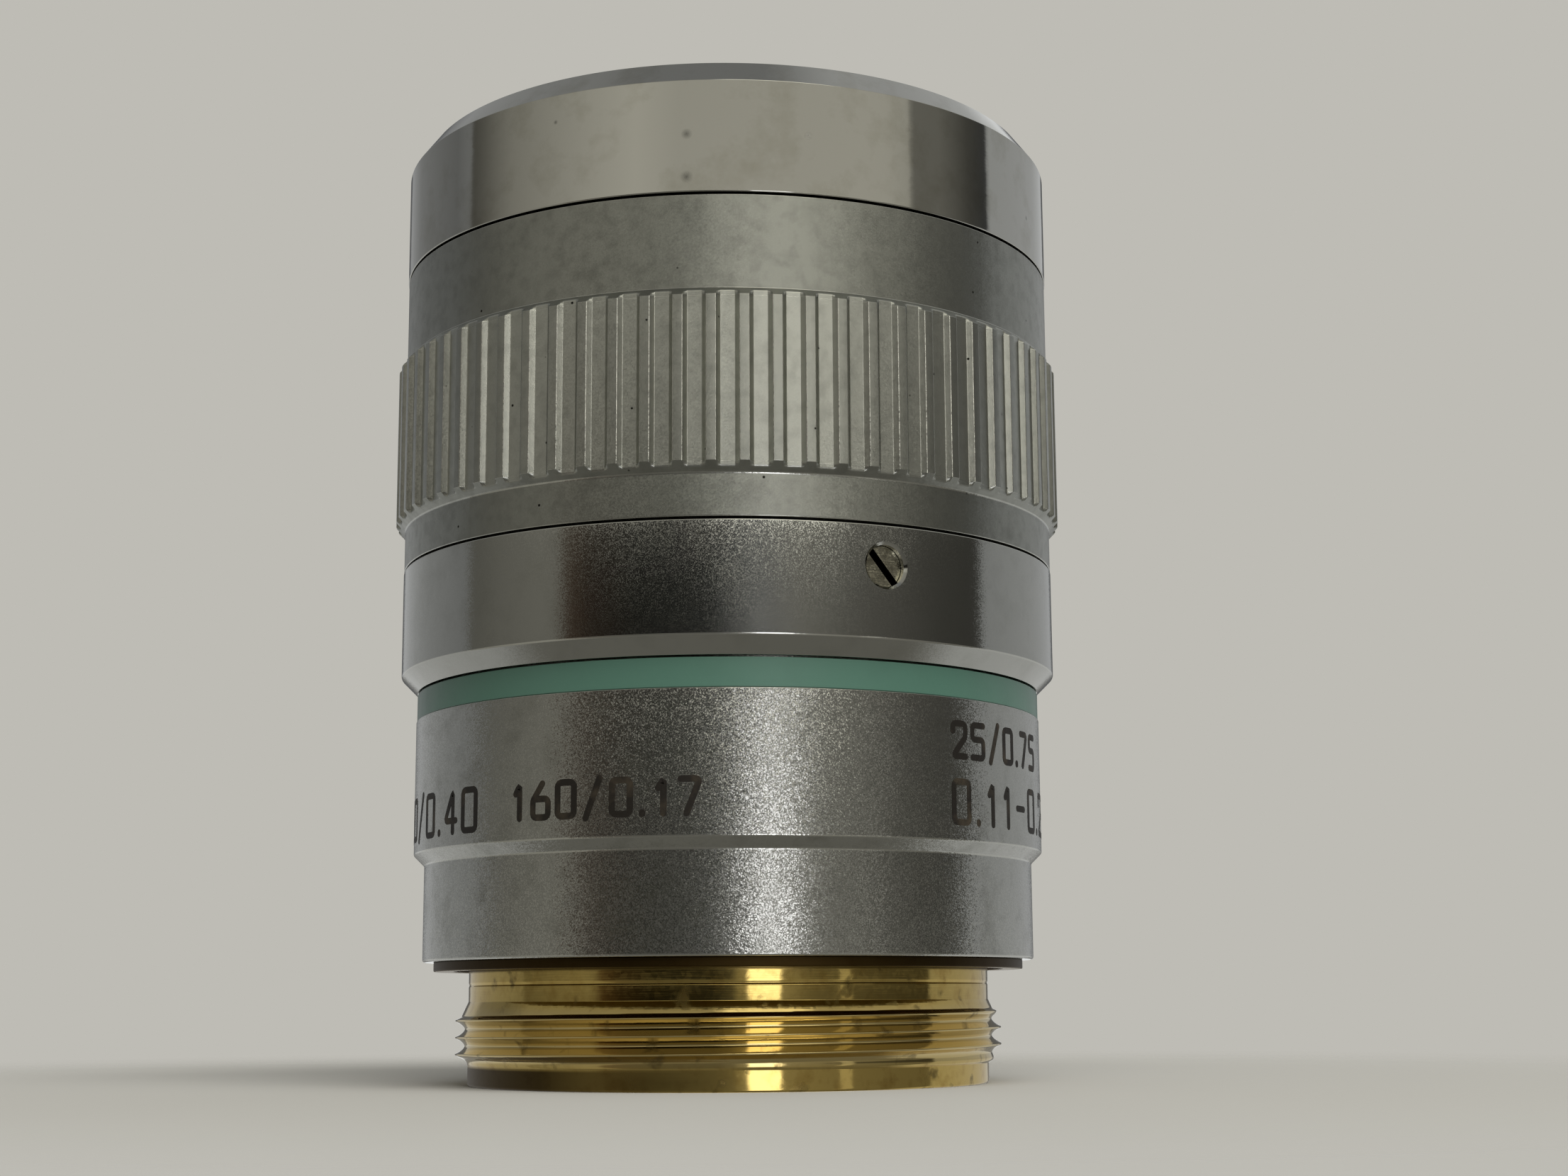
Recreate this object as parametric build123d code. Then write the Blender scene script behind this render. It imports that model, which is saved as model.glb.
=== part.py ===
from build123d import *
import os
from math import cos, radians, sin, sqrt

os.makedirs("parts", exist_ok=True)

# Microscope objective with a correction collar, in millimetres.
# It stands on its screw thread: the axis is Z, z = 0 is the rear end and the front lens looks up.

# Fits: radial clearances
seat_clearance = 0.02
running_clearance = 0.04
pin_clearance = 0.05
cement_gap = 0.02
slip_gap = 0.02

# Brass thread mount
thread_diameter = 25.0
pilot_length = 0.9
thread_length = 2.9
thread_relief = 0.58
thread_chamfer = 0.3
neck_length = 1.29
seat_undercut_width = 0.15
seat_undercut_depth = 0.2
flange_lip = 1.03
flange_thickness = 0.42
mount_wall = 1.72
mount_spigot_length = 3.49
socket_wall = 1.1
edge_break = 0.1

# Lens tube, which screws into the mount
tube_wall = 2.1
front_bore_step = 0.6
land_width = 1.2
land_thickness = 1.0

# Outer sleeves, rear to front
lower_barrel_wall = 1.72
lower_barrel_length = 4.35
barrel_step = 0.485
upper_barrel_length = 6.08
colour_seat_wall = 1.2
colour_ring_width = 1.27
colour_ring_setback = 0.035
colour_shadow_gap = 0.08
spigot_overlap = 0.5
index_overhang = 0.725
index_chamfer = 0.75
index_ring_height = 5.57

# Grub screws of the index ring
screw_count = 3
screw_diameter = 1.8
screw_rise = 3.85
screw_angle = 25.8
screw_recess = 0.4
screw_countersink = 0.12
screw_slot_width = 0.32
screw_slot_depth = 0.4
screw_slot_tilt = 40.0

# Correction collar
collar_gap = 0.23
washer_overlap = 2.0
rim_setback = 0.02
rim_length = 1.72
knurl_height = 0.43
knurl_depth = 0.24
knurl_length = 7.12
ridge_count = 70
groove_floor = 0.59
band_height = 0.055
band_length = 4.115

# Cam ring and guide pin
cam_wall = 1.25
cam_inset = 0.3
collar_swing = 120.0
cell_travel = 1.6
pin_diameter = 2.0
pin_stub_diameter = 1.4
pin_stub_depth = 1.65
pin_height = 4.0
pin_tip_gap = 0.3
pin_angle = 90.0
slot_end_room = 0.2

# Front cap
cap_height = 0.035
cap_bevel_height = 1.09
cap_bevel_width = 0.825
front_plate_thickness = 1.3
recess_margin = 0.4
recess_flare = 1.4

# Front lens and its cell
front_lens_radius = 5.6
front_lens_thickness = 3.7
front_lens_front_curve = 30.0
front_lens_rear_curve = 8.5
nose_wall = 2.0
nose_lip = 0.12
nose_bevel = 0.25
front_flange_thickness = 2.2
front_lock_gap = 0.3
front_lock_thickness = 1.4

# Second lens and the shim below its cell
second_lens_radius = 7.0
second_lens_edge = 0.73
second_lens_front_curve = 40.0
second_lens_rear_curve = 13.0
second_lens_floor = 0.3
second_lens_drop = 0.5
shim_thickness = 0.2

# Sliding cell and its doublet
slide_lens_radius = 7.2
slide_crown_edge = 0.9
slide_flint_thickness = 1.5
slide_front_curve = 24.0
slide_cement_curve = 18.0
slide_rear_curve = 60.0
slide_lens_floor = 1.0
slide_lens_drop = 0.45
slide_wall = 3.0
slide_room = 0.85
slide_skirt_length = 1.6
slide_skirt_step = 1.0

# Triplet
triplet_radius = 6.6
triplet_front_edge = 0.73
triplet_middle_thickness = 1.2
triplet_rear_thickness = 2.2
triplet_front_curve = 22.0
triplet_upper_cement_curve = 18.0
triplet_lower_cement_curve = 15.0
triplet_rear_curve = 30.0
triplet_drop = 0.6

# Rear doublet and the stack that clamps it
rear_lens_radius = 5.8
rear_crown_edge = 0.54
rear_flint_thickness = 1.4
rear_front_curve = 12.0
rear_cement_curve = 30.0
rear_rear_curve = 14.0
rear_drop = 0.5
rear_lock_thickness = 1.4
rear_lock_width = 3.2
rear_spacer_length = 1.47
rear_spacer_wall = 2.0
stop_thickness = 0.3
stop_aperture = 8.6

# Common to the lens cells
ledge_width = 0.6
ledge_thickness = 0.45
retainer_thickness = 0.7
retainer_overlap = 0.75
spanner_slot_width = 1.2
spanner_slot_depth = 0.6


def sag(curve, radius):
    """Depth of a sphere of the given curve at a distance from its vertex axis; negative if concave."""
    depth = abs(curve) - sqrt(curve * curve - radius * radius)
    return depth if curve > 0 else -depth


# Radii, from the sliding lens outwards
bore_radius = slide_lens_radius + slide_wall
tube_radius = bore_radius + tube_wall
sleeve_bore = tube_radius + seat_clearance
lower_barrel_radius = sleeve_bore + lower_barrel_wall
upper_barrel_radius = lower_barrel_radius + barrel_step
colour_seat_radius = sleeve_bore + colour_seat_wall
colour_bore = colour_seat_radius + seat_clearance
colour_radius = upper_barrel_radius - colour_ring_setback
index_radius = upper_barrel_radius + index_overhang
rim_radius = index_radius - rim_setback
crest_radius = rim_radius + knurl_height
floor_radius = crest_radius - knurl_depth
band_radius = rim_radius + band_height
cap_radius = band_radius + cap_height
cam_bore = tube_radius + running_clearance
cam_radius = cam_bore + cam_wall
collar_bore = cam_radius + seat_clearance
washer_radius = sleeve_bore + washer_overlap

# Radii of the mount: its shoulder covers thread and tube, and its port is as wide as both allow
thread_radius = thread_diameter / 2
neck_radius = thread_radius - thread_relief
seat_inner_radius = thread_radius + seat_undercut_width
flange_radius = max(thread_radius, tube_radius) + flange_lip
port_radius = min(neck_radius - mount_wall, bore_radius)
socket_radius = tube_radius - socket_wall

# Radii inside the tube
front_bore_radius = bore_radius + front_bore_step
land_radius = bore_radius - land_width
stack_radius = bore_radius - seat_clearance
front_stack_radius = front_bore_radius - seat_clearance
slide_radius = bore_radius - running_clearance
nose_radius = front_lens_radius + nose_wall
recess_radius = nose_radius + recess_margin

# Heights of the outer pieces, rear to front
thread_z = pilot_length
neck_z = thread_z + thread_length
seat_z = neck_z + neck_length
barrel_z = seat_z + flange_thickness
socket_top = barrel_z + mount_spigot_length
step_z = barrel_z + lower_barrel_length
upper_z = step_z + barrel_step
colour_z = upper_z + upper_barrel_length
colour_top = colour_z + colour_ring_width
index_z = colour_top + colour_shadow_gap
spigot_top = index_z + spigot_overlap
index_top = index_z + index_ring_height
screw_z = index_z + screw_rise
collar_z = index_top + collar_gap
rim_top = collar_z + rim_length
crest_z = rim_top + knurl_height
crest_top = crest_z + knurl_length
band_z = crest_top + crest_radius - band_radius
collar_top = band_z + band_length
cap_z = collar_top + collar_gap

# Heights of the rear doublet, from the tube's rear end up
rear_cell_z = barrel_z + rear_lock_thickness
rear_ledge_z = rear_cell_z + ledge_thickness
rear_bottom = rear_ledge_z + sag(rear_rear_curve, rear_lens_radius)
rear_flint_top = rear_bottom + rear_flint_thickness
rear_cement_z = rear_flint_top + cement_gap
rear_rim_z = rear_cement_z + sag(rear_cement_curve, rear_lens_radius) + rear_crown_edge
rear_top = rear_rim_z + sag(rear_front_curve, rear_lens_radius)
rear_cell_top = rear_top + rear_drop
stop_z = rear_cell_top + rear_spacer_length

# Heights of the triplet and of the land that it is clamped against
triplet_cell_z = stop_z + stop_thickness
triplet_ledge_z = triplet_cell_z + ledge_thickness
triplet_bottom = triplet_ledge_z + sag(triplet_rear_curve, triplet_radius)
triplet_rear_top = triplet_bottom + triplet_rear_thickness
triplet_lower_z = triplet_rear_top + cement_gap
triplet_middle_top = triplet_lower_z + triplet_middle_thickness
triplet_upper_z = triplet_middle_top + cement_gap
triplet_rim_z = triplet_upper_z + sag(triplet_upper_cement_curve, triplet_radius) + triplet_front_edge
triplet_top = triplet_rim_z + sag(triplet_front_curve, triplet_radius)
triplet_cell_top = triplet_top + triplet_drop
land_top = triplet_cell_top + land_thickness

# Heights of the sliding cell in the middle of its travel
slide_reach = cell_travel / 2 + slide_room
slide_cell_z = land_top + slide_reach
pin_z = slide_cell_z + pin_height
slide_bottom = slide_cell_z + slide_lens_floor
slide_ledge_z = slide_bottom + sag(slide_rear_curve, slide_lens_radius - ledge_width) - slip_gap
slide_flint_top = slide_bottom + slide_flint_thickness
slide_cement_z = slide_flint_top + cement_gap
slide_rim_z = slide_cement_z + sag(slide_cement_curve, slide_lens_radius) + slide_crown_edge
slide_top = slide_rim_z + sag(slide_front_curve, slide_lens_radius)
slide_cell_top = slide_top + slide_lens_drop

# Heights of the front group and of the front face, which the stack inside sets
shim_z = slide_cell_top + slide_reach
second_cell_z = shim_z + shim_thickness
second_bottom = second_cell_z + second_lens_floor
second_ledge_z = second_bottom + sag(second_lens_rear_curve, second_lens_radius - ledge_width) - slip_gap
second_rim_z = second_bottom + sag(second_lens_rear_curve, second_lens_radius) + second_lens_edge
second_top = second_rim_z + sag(second_lens_front_curve, second_lens_radius)
front_cell_z = second_top + second_lens_drop
front_lens_top = front_cell_z + front_lens_thickness
front_ledge_radius = front_lens_radius - ledge_width
front_ledge_z = front_cell_z + sag(front_lens_rear_curve, front_ledge_radius) - slip_gap
nose_top = front_lens_top + sag(front_lens_front_curve, front_lens_radius) + nose_lip
front_flange_top = front_cell_z + front_flange_thickness
front_lock_top = front_flange_top + front_lock_thickness
tube_top = front_lock_top + front_lock_gap
front_z = tube_top + front_plate_thickness
bevel_z = front_z - cap_bevel_height


def turned(*profile):
    """Solid of revolution about Z from a closed profile of (radius, height) points."""
    return revolve(Plane.XZ * make_face(Polyline(*profile, close=True)), Axis.Z)


def ring(inner, outer, bottom, top):
    """Plain ring with a rectangular section."""
    return turned((inner, bottom), (outer, bottom), (outer, top), (inner, top))


def glass(radius, bottom, top, bottom_curve, top_curve):
    """Lens between two vertices; a positive curve bulges outwards and a negative one is hollow."""
    low = bottom + sag(bottom_curve, radius)
    high = top - sag(top_curve, radius)
    half = radius / 2
    low_arc = ThreePointArc((0, bottom), (half, bottom + sag(bottom_curve, half)), (radius, low))
    rim = Line((radius, low), (radius, high))
    top_arc = ThreePointArc((radius, high), (half, top - sag(top_curve, half)), (0, top))
    axis = Line((0, top), (0, bottom))
    return revolve(Plane.XZ * make_face([low_arc, rim, top_arc, axis]), Axis.Z)


def cell(outer, bottom, top, lens_radius, ledge_z, counterbore_z):
    """Lens cell: a ledge below the glass, a bore round it and a wider bore for the retainer."""
    bore = lens_radius + seat_clearance
    wide = lens_radius + retainer_overlap + seat_clearance
    inner = lens_radius - ledge_width
    return turned(
        (inner, bottom),
        (outer, bottom),
        (outer, top),
        (wide, top),
        (wide, counterbore_z),
        (bore, counterbore_z),
        (bore, ledge_z),
        (inner, ledge_z),
    )


def retainer(lens_radius, vertex, curve):
    """Ring that presses on the front of a glass just inside its edge."""
    inner = lens_radius - ledge_width
    bottom = vertex - sag(curve, inner) + slip_gap
    return ring(inner, lens_radius + retainer_overlap, bottom, bottom + retainer_thickness)


def spanner_slots(solid, bottom, top, radius):
    """Cuts one slot right across a ring, which leaves two notches for a pin spanner."""
    height = top - bottom
    cutter = Box(2 * radius + spanner_slot_width, spanner_slot_width, height)
    return solid - Pos(0, 0, (bottom + top) / 2) * cutter


def radial(radius, angle, height):
    """Place on the axis-centred circle with the local z axis pointing outwards."""
    x = radius * cos(radians(angle))
    y = radius * sin(radians(angle))
    outward = (cos(radians(angle)), sin(radians(angle)), 0)
    return Location(Plane(origin=(x, y, height), x_dir=(0, 0, 1), z_dir=outward))


def rod(radius, inner, outer, angle, height):
    """Round bar along a radius of the objective."""
    return radial((inner + outer) / 2, angle, height) * Cylinder(radius, outer - inner)


def save(name, *solids):
    """Writes one piece, or a group of like pieces, to its own file."""
    shape = solids[0] if len(solids) == 1 else Compound(children=list(solids))
    shape.label = name
    export_step(shape, f"parts/{name}.step")


# Brass mount: pilot, thread, neck, undercut shoulder, and a socket for the lens tube
save(
    "thread_mount",
    turned(
        (port_radius + edge_break, 0),
        (neck_radius - edge_break, 0),
        (neck_radius, edge_break),
        (neck_radius, thread_z),
        (thread_radius, thread_z + thread_chamfer),
        (thread_radius, neck_z - thread_chamfer),
        (neck_radius, neck_z),
        (neck_radius, seat_z + seat_undercut_depth),
        (seat_inner_radius, seat_z + seat_undercut_depth),
        (seat_inner_radius, seat_z),
        (flange_radius, seat_z),
        (flange_radius, barrel_z),
        (tube_radius, barrel_z),
        (tube_radius, socket_top),
        (socket_radius, socket_top),
        (socket_radius, barrel_z),
        (port_radius, barrel_z),
        (port_radius, edge_break),
    ),
)

# Lens tube: a shank in the mount's socket and a long bore with the land that the lens stack meets
shank_radius = socket_radius - seat_clearance
tube = turned(
    (bore_radius, barrel_z),
    (shank_radius, barrel_z),
    (shank_radius, socket_top),
    (tube_radius, socket_top),
    (tube_radius, tube_top),
    (front_bore_radius, tube_top),
    (front_bore_radius, shim_z),
    (bore_radius, shim_z),
    (bore_radius, land_top),
    (land_radius, land_top),
    (land_radius, triplet_cell_top),
    (bore_radius, triplet_cell_top),
)

# Straight slot through the tube wall, along which the guide pin travels
slot_radius = pin_diameter / 2 + pin_clearance
slot_half = cell_travel / 2 + slot_end_room
slot_low = rod(slot_radius, land_radius, cam_radius, pin_angle, pin_z - slot_half)
slot_high = rod(slot_radius, land_radius, cam_radius, pin_angle, pin_z + slot_half)
slot_mid = radial((land_radius + cam_radius) / 2, pin_angle, pin_z) * Box(
    2 * slot_half, 2 * slot_radius, cam_radius - land_radius
)
save("lens_tube", tube - slot_low - slot_high - slot_mid)

# Satin sleeve with the step between its two diameters and a spigot for the colour ring
save(
    "rear_barrel",
    turned(
        (sleeve_bore, barrel_z),
        (lower_barrel_radius - edge_break, barrel_z),
        (lower_barrel_radius, barrel_z + edge_break),
        (lower_barrel_radius, step_z),
        (upper_barrel_radius, upper_z),
        (upper_barrel_radius, colour_z),
        (colour_seat_radius, colour_z),
        (colour_seat_radius, spigot_top),
        (sleeve_bore, spigot_top),
    ),
)
save("colour_ring", ring(colour_bore, colour_radius, colour_z, colour_top))

# Index ring, chamfered below, with three radial holes for its grub screws
index = turned(
    (colour_bore, index_z),
    (index_radius - index_chamfer, index_z),
    (index_radius, index_z + index_chamfer),
    (index_radius, index_top - edge_break),
    (index_radius - edge_break, index_top),
    (sleeve_bore, index_top),
    (sleeve_bore, spigot_top),
    (colour_bore, spigot_top),
)
screw_radius = screw_diameter / 2
screw_outer = index_radius - screw_recess
sink_radius = screw_radius + screw_countersink
screws = []
for number in range(screw_count):
    angle = screw_angle - 90 + number * 360 / screw_count
    index -= rod(screw_radius, tube_radius, index_radius + screw_radius, angle, screw_z)
    sink = Cone(screw_radius, sink_radius, screw_countersink)
    index -= radial(index_radius - screw_countersink / 2, angle, screw_z) * sink
    screw = rod(screw_radius - seat_clearance, sleeve_bore, screw_outer, angle, screw_z)
    slot = Box(screw_slot_width, screw_diameter + screw_slot_width, screw_slot_depth)
    place = radial(screw_outer - screw_slot_depth / 2, angle, screw_z)
    screws.append(screw - place * Rot(0, 0, 90 + screw_slot_tilt) * slot)
save("index_ring", index)
save("ring_screws", *screws)

# Slip washers on both sides of the collar
save("rear_washer", ring(sleeve_bore, washer_radius, index_top, collar_z - slip_gap))
save("front_washer", ring(sleeve_bore, washer_radius, collar_top + slip_gap, cap_z))

# Correction collar: rim, knurl between two turned bevels, and plain band
collar = turned(
    (collar_bore, collar_z),
    (rim_radius - edge_break, collar_z),
    (rim_radius, collar_z + edge_break),
    (rim_radius, rim_top),
    (crest_radius, crest_z),
    (crest_radius, crest_top),
    (band_radius, band_z),
    (band_radius, collar_top - edge_break),
    (band_radius - edge_break, collar_top),
    (collar_bore, collar_top),
)
groove_rise = 2 * knurl_depth
groove_top = groove_floor / 2 + groove_rise
groove_face = make_face(
    Polyline(
        (floor_radius, -groove_floor / 2),
        (floor_radius + groove_rise, -groove_top),
        (floor_radius + groove_rise, groove_top),
        (floor_radius, groove_floor / 2),
        close=True,
    )
)
groove = Pos(0, 0, collar_z) * extrude(groove_face, collar_top - collar_z)
ridge_step = 360 / ridge_count
grooves = [Rot(0, 0, number * ridge_step - 90) * groove for number in range(ridge_count)]
save("correction_collar", collar - grooves)

# Cam ring inside the collar, with the helical slot that drives the guide pin
slot_lead = cell_travel * 360 / collar_swing
slot_turn = collar_swing / 2
cam = ring(cam_bore, cam_radius, collar_z + cam_inset, collar_top - cam_inset)
cam_middle = (cam_bore + cam_radius) / 2
slot_path = Helix(slot_lead, cell_travel, cam_middle, lefthand=True)
slot_section = Pos(cam_middle, 0, 0) * Plane.XZ * Rectangle(2 * cam_wall, 2 * slot_radius)
slot_cut = sweep(slot_section, path=slot_path, is_frenet=True)
cam -= Pos(0, 0, pin_z - cell_travel / 2) * Rot(0, 0, pin_angle + slot_turn) * slot_cut
for side in (-1, 1):
    end_angle = pin_angle - side * slot_turn
    end_height = pin_z + side * cell_travel / 2
    cam -= rod(slot_radius, cam_bore - cam_wall, cam_radius + cam_wall, end_angle, end_height)
save("cam_ring", cam)

# Polished front cap with a bevelled edge and a flared opening in its front plate
save(
    "front_cap",
    turned(
        (sleeve_bore, cap_z),
        (cap_radius - edge_break, cap_z),
        (cap_radius, cap_z + edge_break),
        (cap_radius, bevel_z),
        (cap_radius - cap_bevel_width, front_z),
        (recess_radius + recess_flare, front_z),
        (recess_radius, tube_top),
        (sleeve_bore, tube_top),
    ),
)

# Front lens in its nose cell
save(
    "front_lens",
    glass(front_lens_radius, front_cell_z, front_lens_top, front_lens_rear_curve, -front_lens_front_curve),
)
front_bore = front_lens_radius + seat_clearance
save(
    "front_cell",
    turned(
        (front_ledge_radius, front_cell_z),
        (front_stack_radius, front_cell_z),
        (front_stack_radius, front_flange_top),
        (nose_radius, front_flange_top),
        (nose_radius, nose_top - nose_bevel),
        (nose_radius - nose_bevel, nose_top),
        (front_bore, nose_top),
        (front_bore, front_ledge_z),
        (front_ledge_radius, front_ledge_z),
    ),
)
front_lock = ring(nose_radius + seat_clearance, front_stack_radius, front_flange_top, front_lock_top)
notch_z = front_lock_top - spanner_slot_depth
save("front_lock_ring", spanner_slots(front_lock, notch_z, front_lock_top, front_stack_radius))

# Second lens, its cell, its retainer and the shim that sets the focus distance
save(
    "second_lens",
    glass(
        second_lens_radius, second_bottom, second_top, second_lens_rear_curve, second_lens_front_curve
    ),
)
save(
    "second_cell",
    cell(
        front_stack_radius,
        second_cell_z,
        front_cell_z,
        second_lens_radius,
        second_ledge_z,
        second_rim_z,
    ),
)
save("second_retainer", retainer(second_lens_radius, second_top, second_lens_front_curve))
save("parfocal_shim", ring(bore_radius, front_stack_radius, shim_z, second_cell_z))

# Sliding cell with its cemented doublet, retainer and guide pin
save(
    "slide_crown",
    glass(slide_lens_radius, slide_cement_z, slide_top, slide_cement_curve, slide_front_curve),
)
save(
    "slide_flint",
    glass(slide_lens_radius, slide_bottom, slide_flint_top, slide_rear_curve, -slide_cement_curve),
)
slide_body = cell(
    slide_radius,
    slide_cell_z,
    slide_cell_top,
    slide_lens_radius,
    slide_ledge_z,
    slide_rim_z,
)
slide_body -= ring(
    slide_radius - slide_skirt_step,
    slide_radius + slide_skirt_step,
    slide_cell_z - slide_skirt_length,
    slide_cell_z + slide_skirt_length,
)
stub_radius = pin_stub_diameter / 2
stub_inner = slide_radius - pin_stub_depth
slide_body -= rod(stub_radius + seat_clearance, stub_inner, slide_radius + stub_radius, pin_angle, pin_z)
flat_radius = pin_diameter / 2 + seat_clearance
slide_flat = sqrt(slide_radius * slide_radius - flat_radius * flat_radius)
slide_body -= rod(flat_radius, slide_flat, slide_radius + stub_radius, pin_angle, pin_z)
save("slide_cell", slide_body)
save("slide_retainer", retainer(slide_lens_radius, slide_top, slide_front_curve))
pin_stub = rod(stub_radius, stub_inner + seat_clearance, slide_radius, pin_angle, pin_z)
pin_head = rod(pin_diameter / 2, slide_flat, cam_radius - pin_tip_gap, pin_angle, pin_z)
save("guide_pin", pin_stub + pin_head)

# Triplet, its cell and retainer
save(
    "triplet_front",
    glass(triplet_radius, triplet_upper_z, triplet_top, triplet_upper_cement_curve, triplet_front_curve),
)
save(
    "triplet_middle",
    glass(
        triplet_radius,
        triplet_lower_z,
        triplet_middle_top,
        -triplet_lower_cement_curve,
        -triplet_upper_cement_curve,
    ),
)
save(
    "triplet_rear",
    glass(
        triplet_radius, triplet_bottom, triplet_rear_top, -triplet_rear_curve, triplet_lower_cement_curve
    ),
)
save(
    "triplet_cell",
    cell(
        stack_radius,
        triplet_cell_z,
        triplet_cell_top,
        triplet_radius,
        triplet_ledge_z,
        triplet_rim_z,
    ),
)
save("triplet_retainer", retainer(triplet_radius, triplet_top, triplet_front_curve))

# Rear doublet, its cell and retainer
save("rear_crown", glass(rear_lens_radius, rear_cement_z, rear_top, rear_cement_curve, rear_front_curve))
save("rear_flint", glass(rear_lens_radius, rear_bottom, rear_flint_top, -rear_rear_curve, -rear_cement_curve))
save(
    "rear_cell",
    cell(
        stack_radius,
        rear_cell_z,
        rear_cell_top,
        rear_lens_radius,
        rear_ledge_z,
        rear_rim_z,
    ),
)
save("rear_retainer", retainer(rear_lens_radius, rear_top, rear_front_curve))

# Rear clamping stack: slotted lock ring, distance tube and diaphragm
rear_lock = ring(stack_radius - rear_lock_width, stack_radius, barrel_z, rear_cell_z)
rear_notch_top = barrel_z + spanner_slot_depth
save("rear_lock_ring", spanner_slots(rear_lock, barrel_z, rear_notch_top, stack_radius))
save("rear_spacer", ring(stack_radius - rear_spacer_wall, stack_radius, rear_cell_top, stop_z))
save("aperture_stop", ring(stop_aperture / 2, stack_radius, stop_z, triplet_cell_z))
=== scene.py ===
# %% [markdown]
# A microscope objective with a correction collar stands on its brass screw thread, front lens up. The
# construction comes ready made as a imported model: every piece already has its real size and place. This
# script adds what the eye sees: broken edges, the cut thread, the knurl, the engraving and the finishes.

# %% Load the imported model
from math import cos, pi, radians, sin

import bpy
import numpy as np
from mathutils import Matrix, Vector


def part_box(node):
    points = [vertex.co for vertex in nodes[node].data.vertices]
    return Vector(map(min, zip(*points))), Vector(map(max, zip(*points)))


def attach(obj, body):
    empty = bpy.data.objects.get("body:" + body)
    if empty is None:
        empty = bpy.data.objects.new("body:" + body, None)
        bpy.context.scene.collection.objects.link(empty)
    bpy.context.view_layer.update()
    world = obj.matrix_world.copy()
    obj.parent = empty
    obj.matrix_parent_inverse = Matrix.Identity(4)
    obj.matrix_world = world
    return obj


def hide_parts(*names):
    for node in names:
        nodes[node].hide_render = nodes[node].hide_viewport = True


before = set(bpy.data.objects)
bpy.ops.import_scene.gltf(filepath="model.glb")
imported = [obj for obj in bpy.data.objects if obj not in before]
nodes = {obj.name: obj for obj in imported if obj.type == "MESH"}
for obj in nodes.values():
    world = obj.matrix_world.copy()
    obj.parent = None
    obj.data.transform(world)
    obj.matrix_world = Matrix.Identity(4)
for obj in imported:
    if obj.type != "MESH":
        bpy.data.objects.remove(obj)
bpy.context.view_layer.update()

MM = 0.001


# %% [markdown]
# Everything on the outside was turned on a lathe, so a piece's box gives its two heights and its radius.
# One helper reads them in millimetres, and the profiles below start from these numbers. A model could
# also be measured by hand, but then a change of the construction would leave its looks behind.

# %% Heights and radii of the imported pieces
def span(node):
    """Lowest height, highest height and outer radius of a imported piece, in millimetres."""
    low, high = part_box(node)
    return low.z / MM, high.z / MM, high.x / MM


BARREL_Z, SPIGOT_TOP, UPPER_RADIUS = span("rear_barrel")
COLOUR_Z, COLOUR_TOP, COLOUR_RADIUS = span("colour_ring")
INDEX_Z, INDEX_TOP, INDEX_RADIUS = span("index_ring")
COLLAR_Z, COLLAR_TOP, CREST_RADIUS = span("correction_collar")
CAP_Z, FRONT_Z, CAP_RADIUS = span("front_cap")
MOUNT_Z, SOCKET_TOP, FLANGE_RADIUS = span("thread_mount")
TUBE_TOP, TUBE_RADIUS = span("lens_tube")[1:]
CAM_RADIUS = span("cam_ring")[2]
SCREW_LOW, SCREW_HIGH = span("ring_screws")[:2]
SEAT_GAP = 0.02
SLEEVE_BORE = TUBE_RADIUS + SEAT_GAP
print("rear barrel from", round(BARREL_Z, 3), "to", round(SPIGOT_TOP, 3), "radius", round(UPPER_RADIUS, 3))


# %% [markdown]
# The camera looks along +Y from just above table height and tilts up a little, as a hand-held close-up
# does. Its place and angles are real sizes in the object's own frame, and the image is taken as 2212 by
# 1659 pixels. A longer lens from further away would flatten the rings, so the short distance is kept.

# %% Camera
IMAGE_WIDTH = 2212
FOCAL_PIXELS = 3326.5
SENSOR_MM = 36.0
CAMERA_MM = (0.0, -110.604, 3.698)
CAMERA_TILT = 0.17342
CAMERA_TURN = -0.02404
CAMERA_ROLL = -0.00584
NEAREST = 0.001

camera_data = bpy.data.cameras.new("camera")
camera_data.sensor_width = SENSOR_MM
camera_data.lens = SENSOR_MM * FOCAL_PIXELS / IMAGE_WIDTH
camera_data.clip_start = NEAREST
camera = bpy.data.objects.new("camera", camera_data)
bpy.context.scene.collection.objects.link(camera)
turn = Matrix.Rotation(CAMERA_TURN, 4, "Z")
tilt = Matrix.Rotation(pi / 2 + CAMERA_TILT, 4, "X")
roll = Matrix.Rotation(CAMERA_ROLL, 4, "Z")
camera.matrix_world = Matrix.Translation(Vector(CAMERA_MM) * MM) @ turn @ tilt @ roll
bpy.context.scene.camera = camera
bpy.context.scene.view_settings.view_transform = "Standard"
print("lens in mm:", round(camera_data.lens, 2))


# %% [markdown]
# Colours are written as sRGB hex values, as a paint chart gives them, and turned to linear light once,
# here. All node trees below are built by one small function that adds a node, sets it and links it.

# %% Colour and node helpers
SRGB_KNEE, SRGB_SLOPE = 0.04045, 12.92
SRGB_LIFT, SRGB_POWER = 0.055, 2.4


def linear(code, level=1.0):
    """Linear RGBA of an sRGB hex value, times a light level: a straight start, then a power curve."""
    srgb = np.array([int(code[i : i + 2], 16) for i in (1, 3, 5)]) / 255
    curve = ((srgb + SRGB_LIFT) / (1 + SRGB_LIFT)) ** SRGB_POWER
    light = np.where(srgb <= SRGB_KNEE, srgb / SRGB_SLOPE, curve) * level
    return (*light.tolist(), 1.0)


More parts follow.
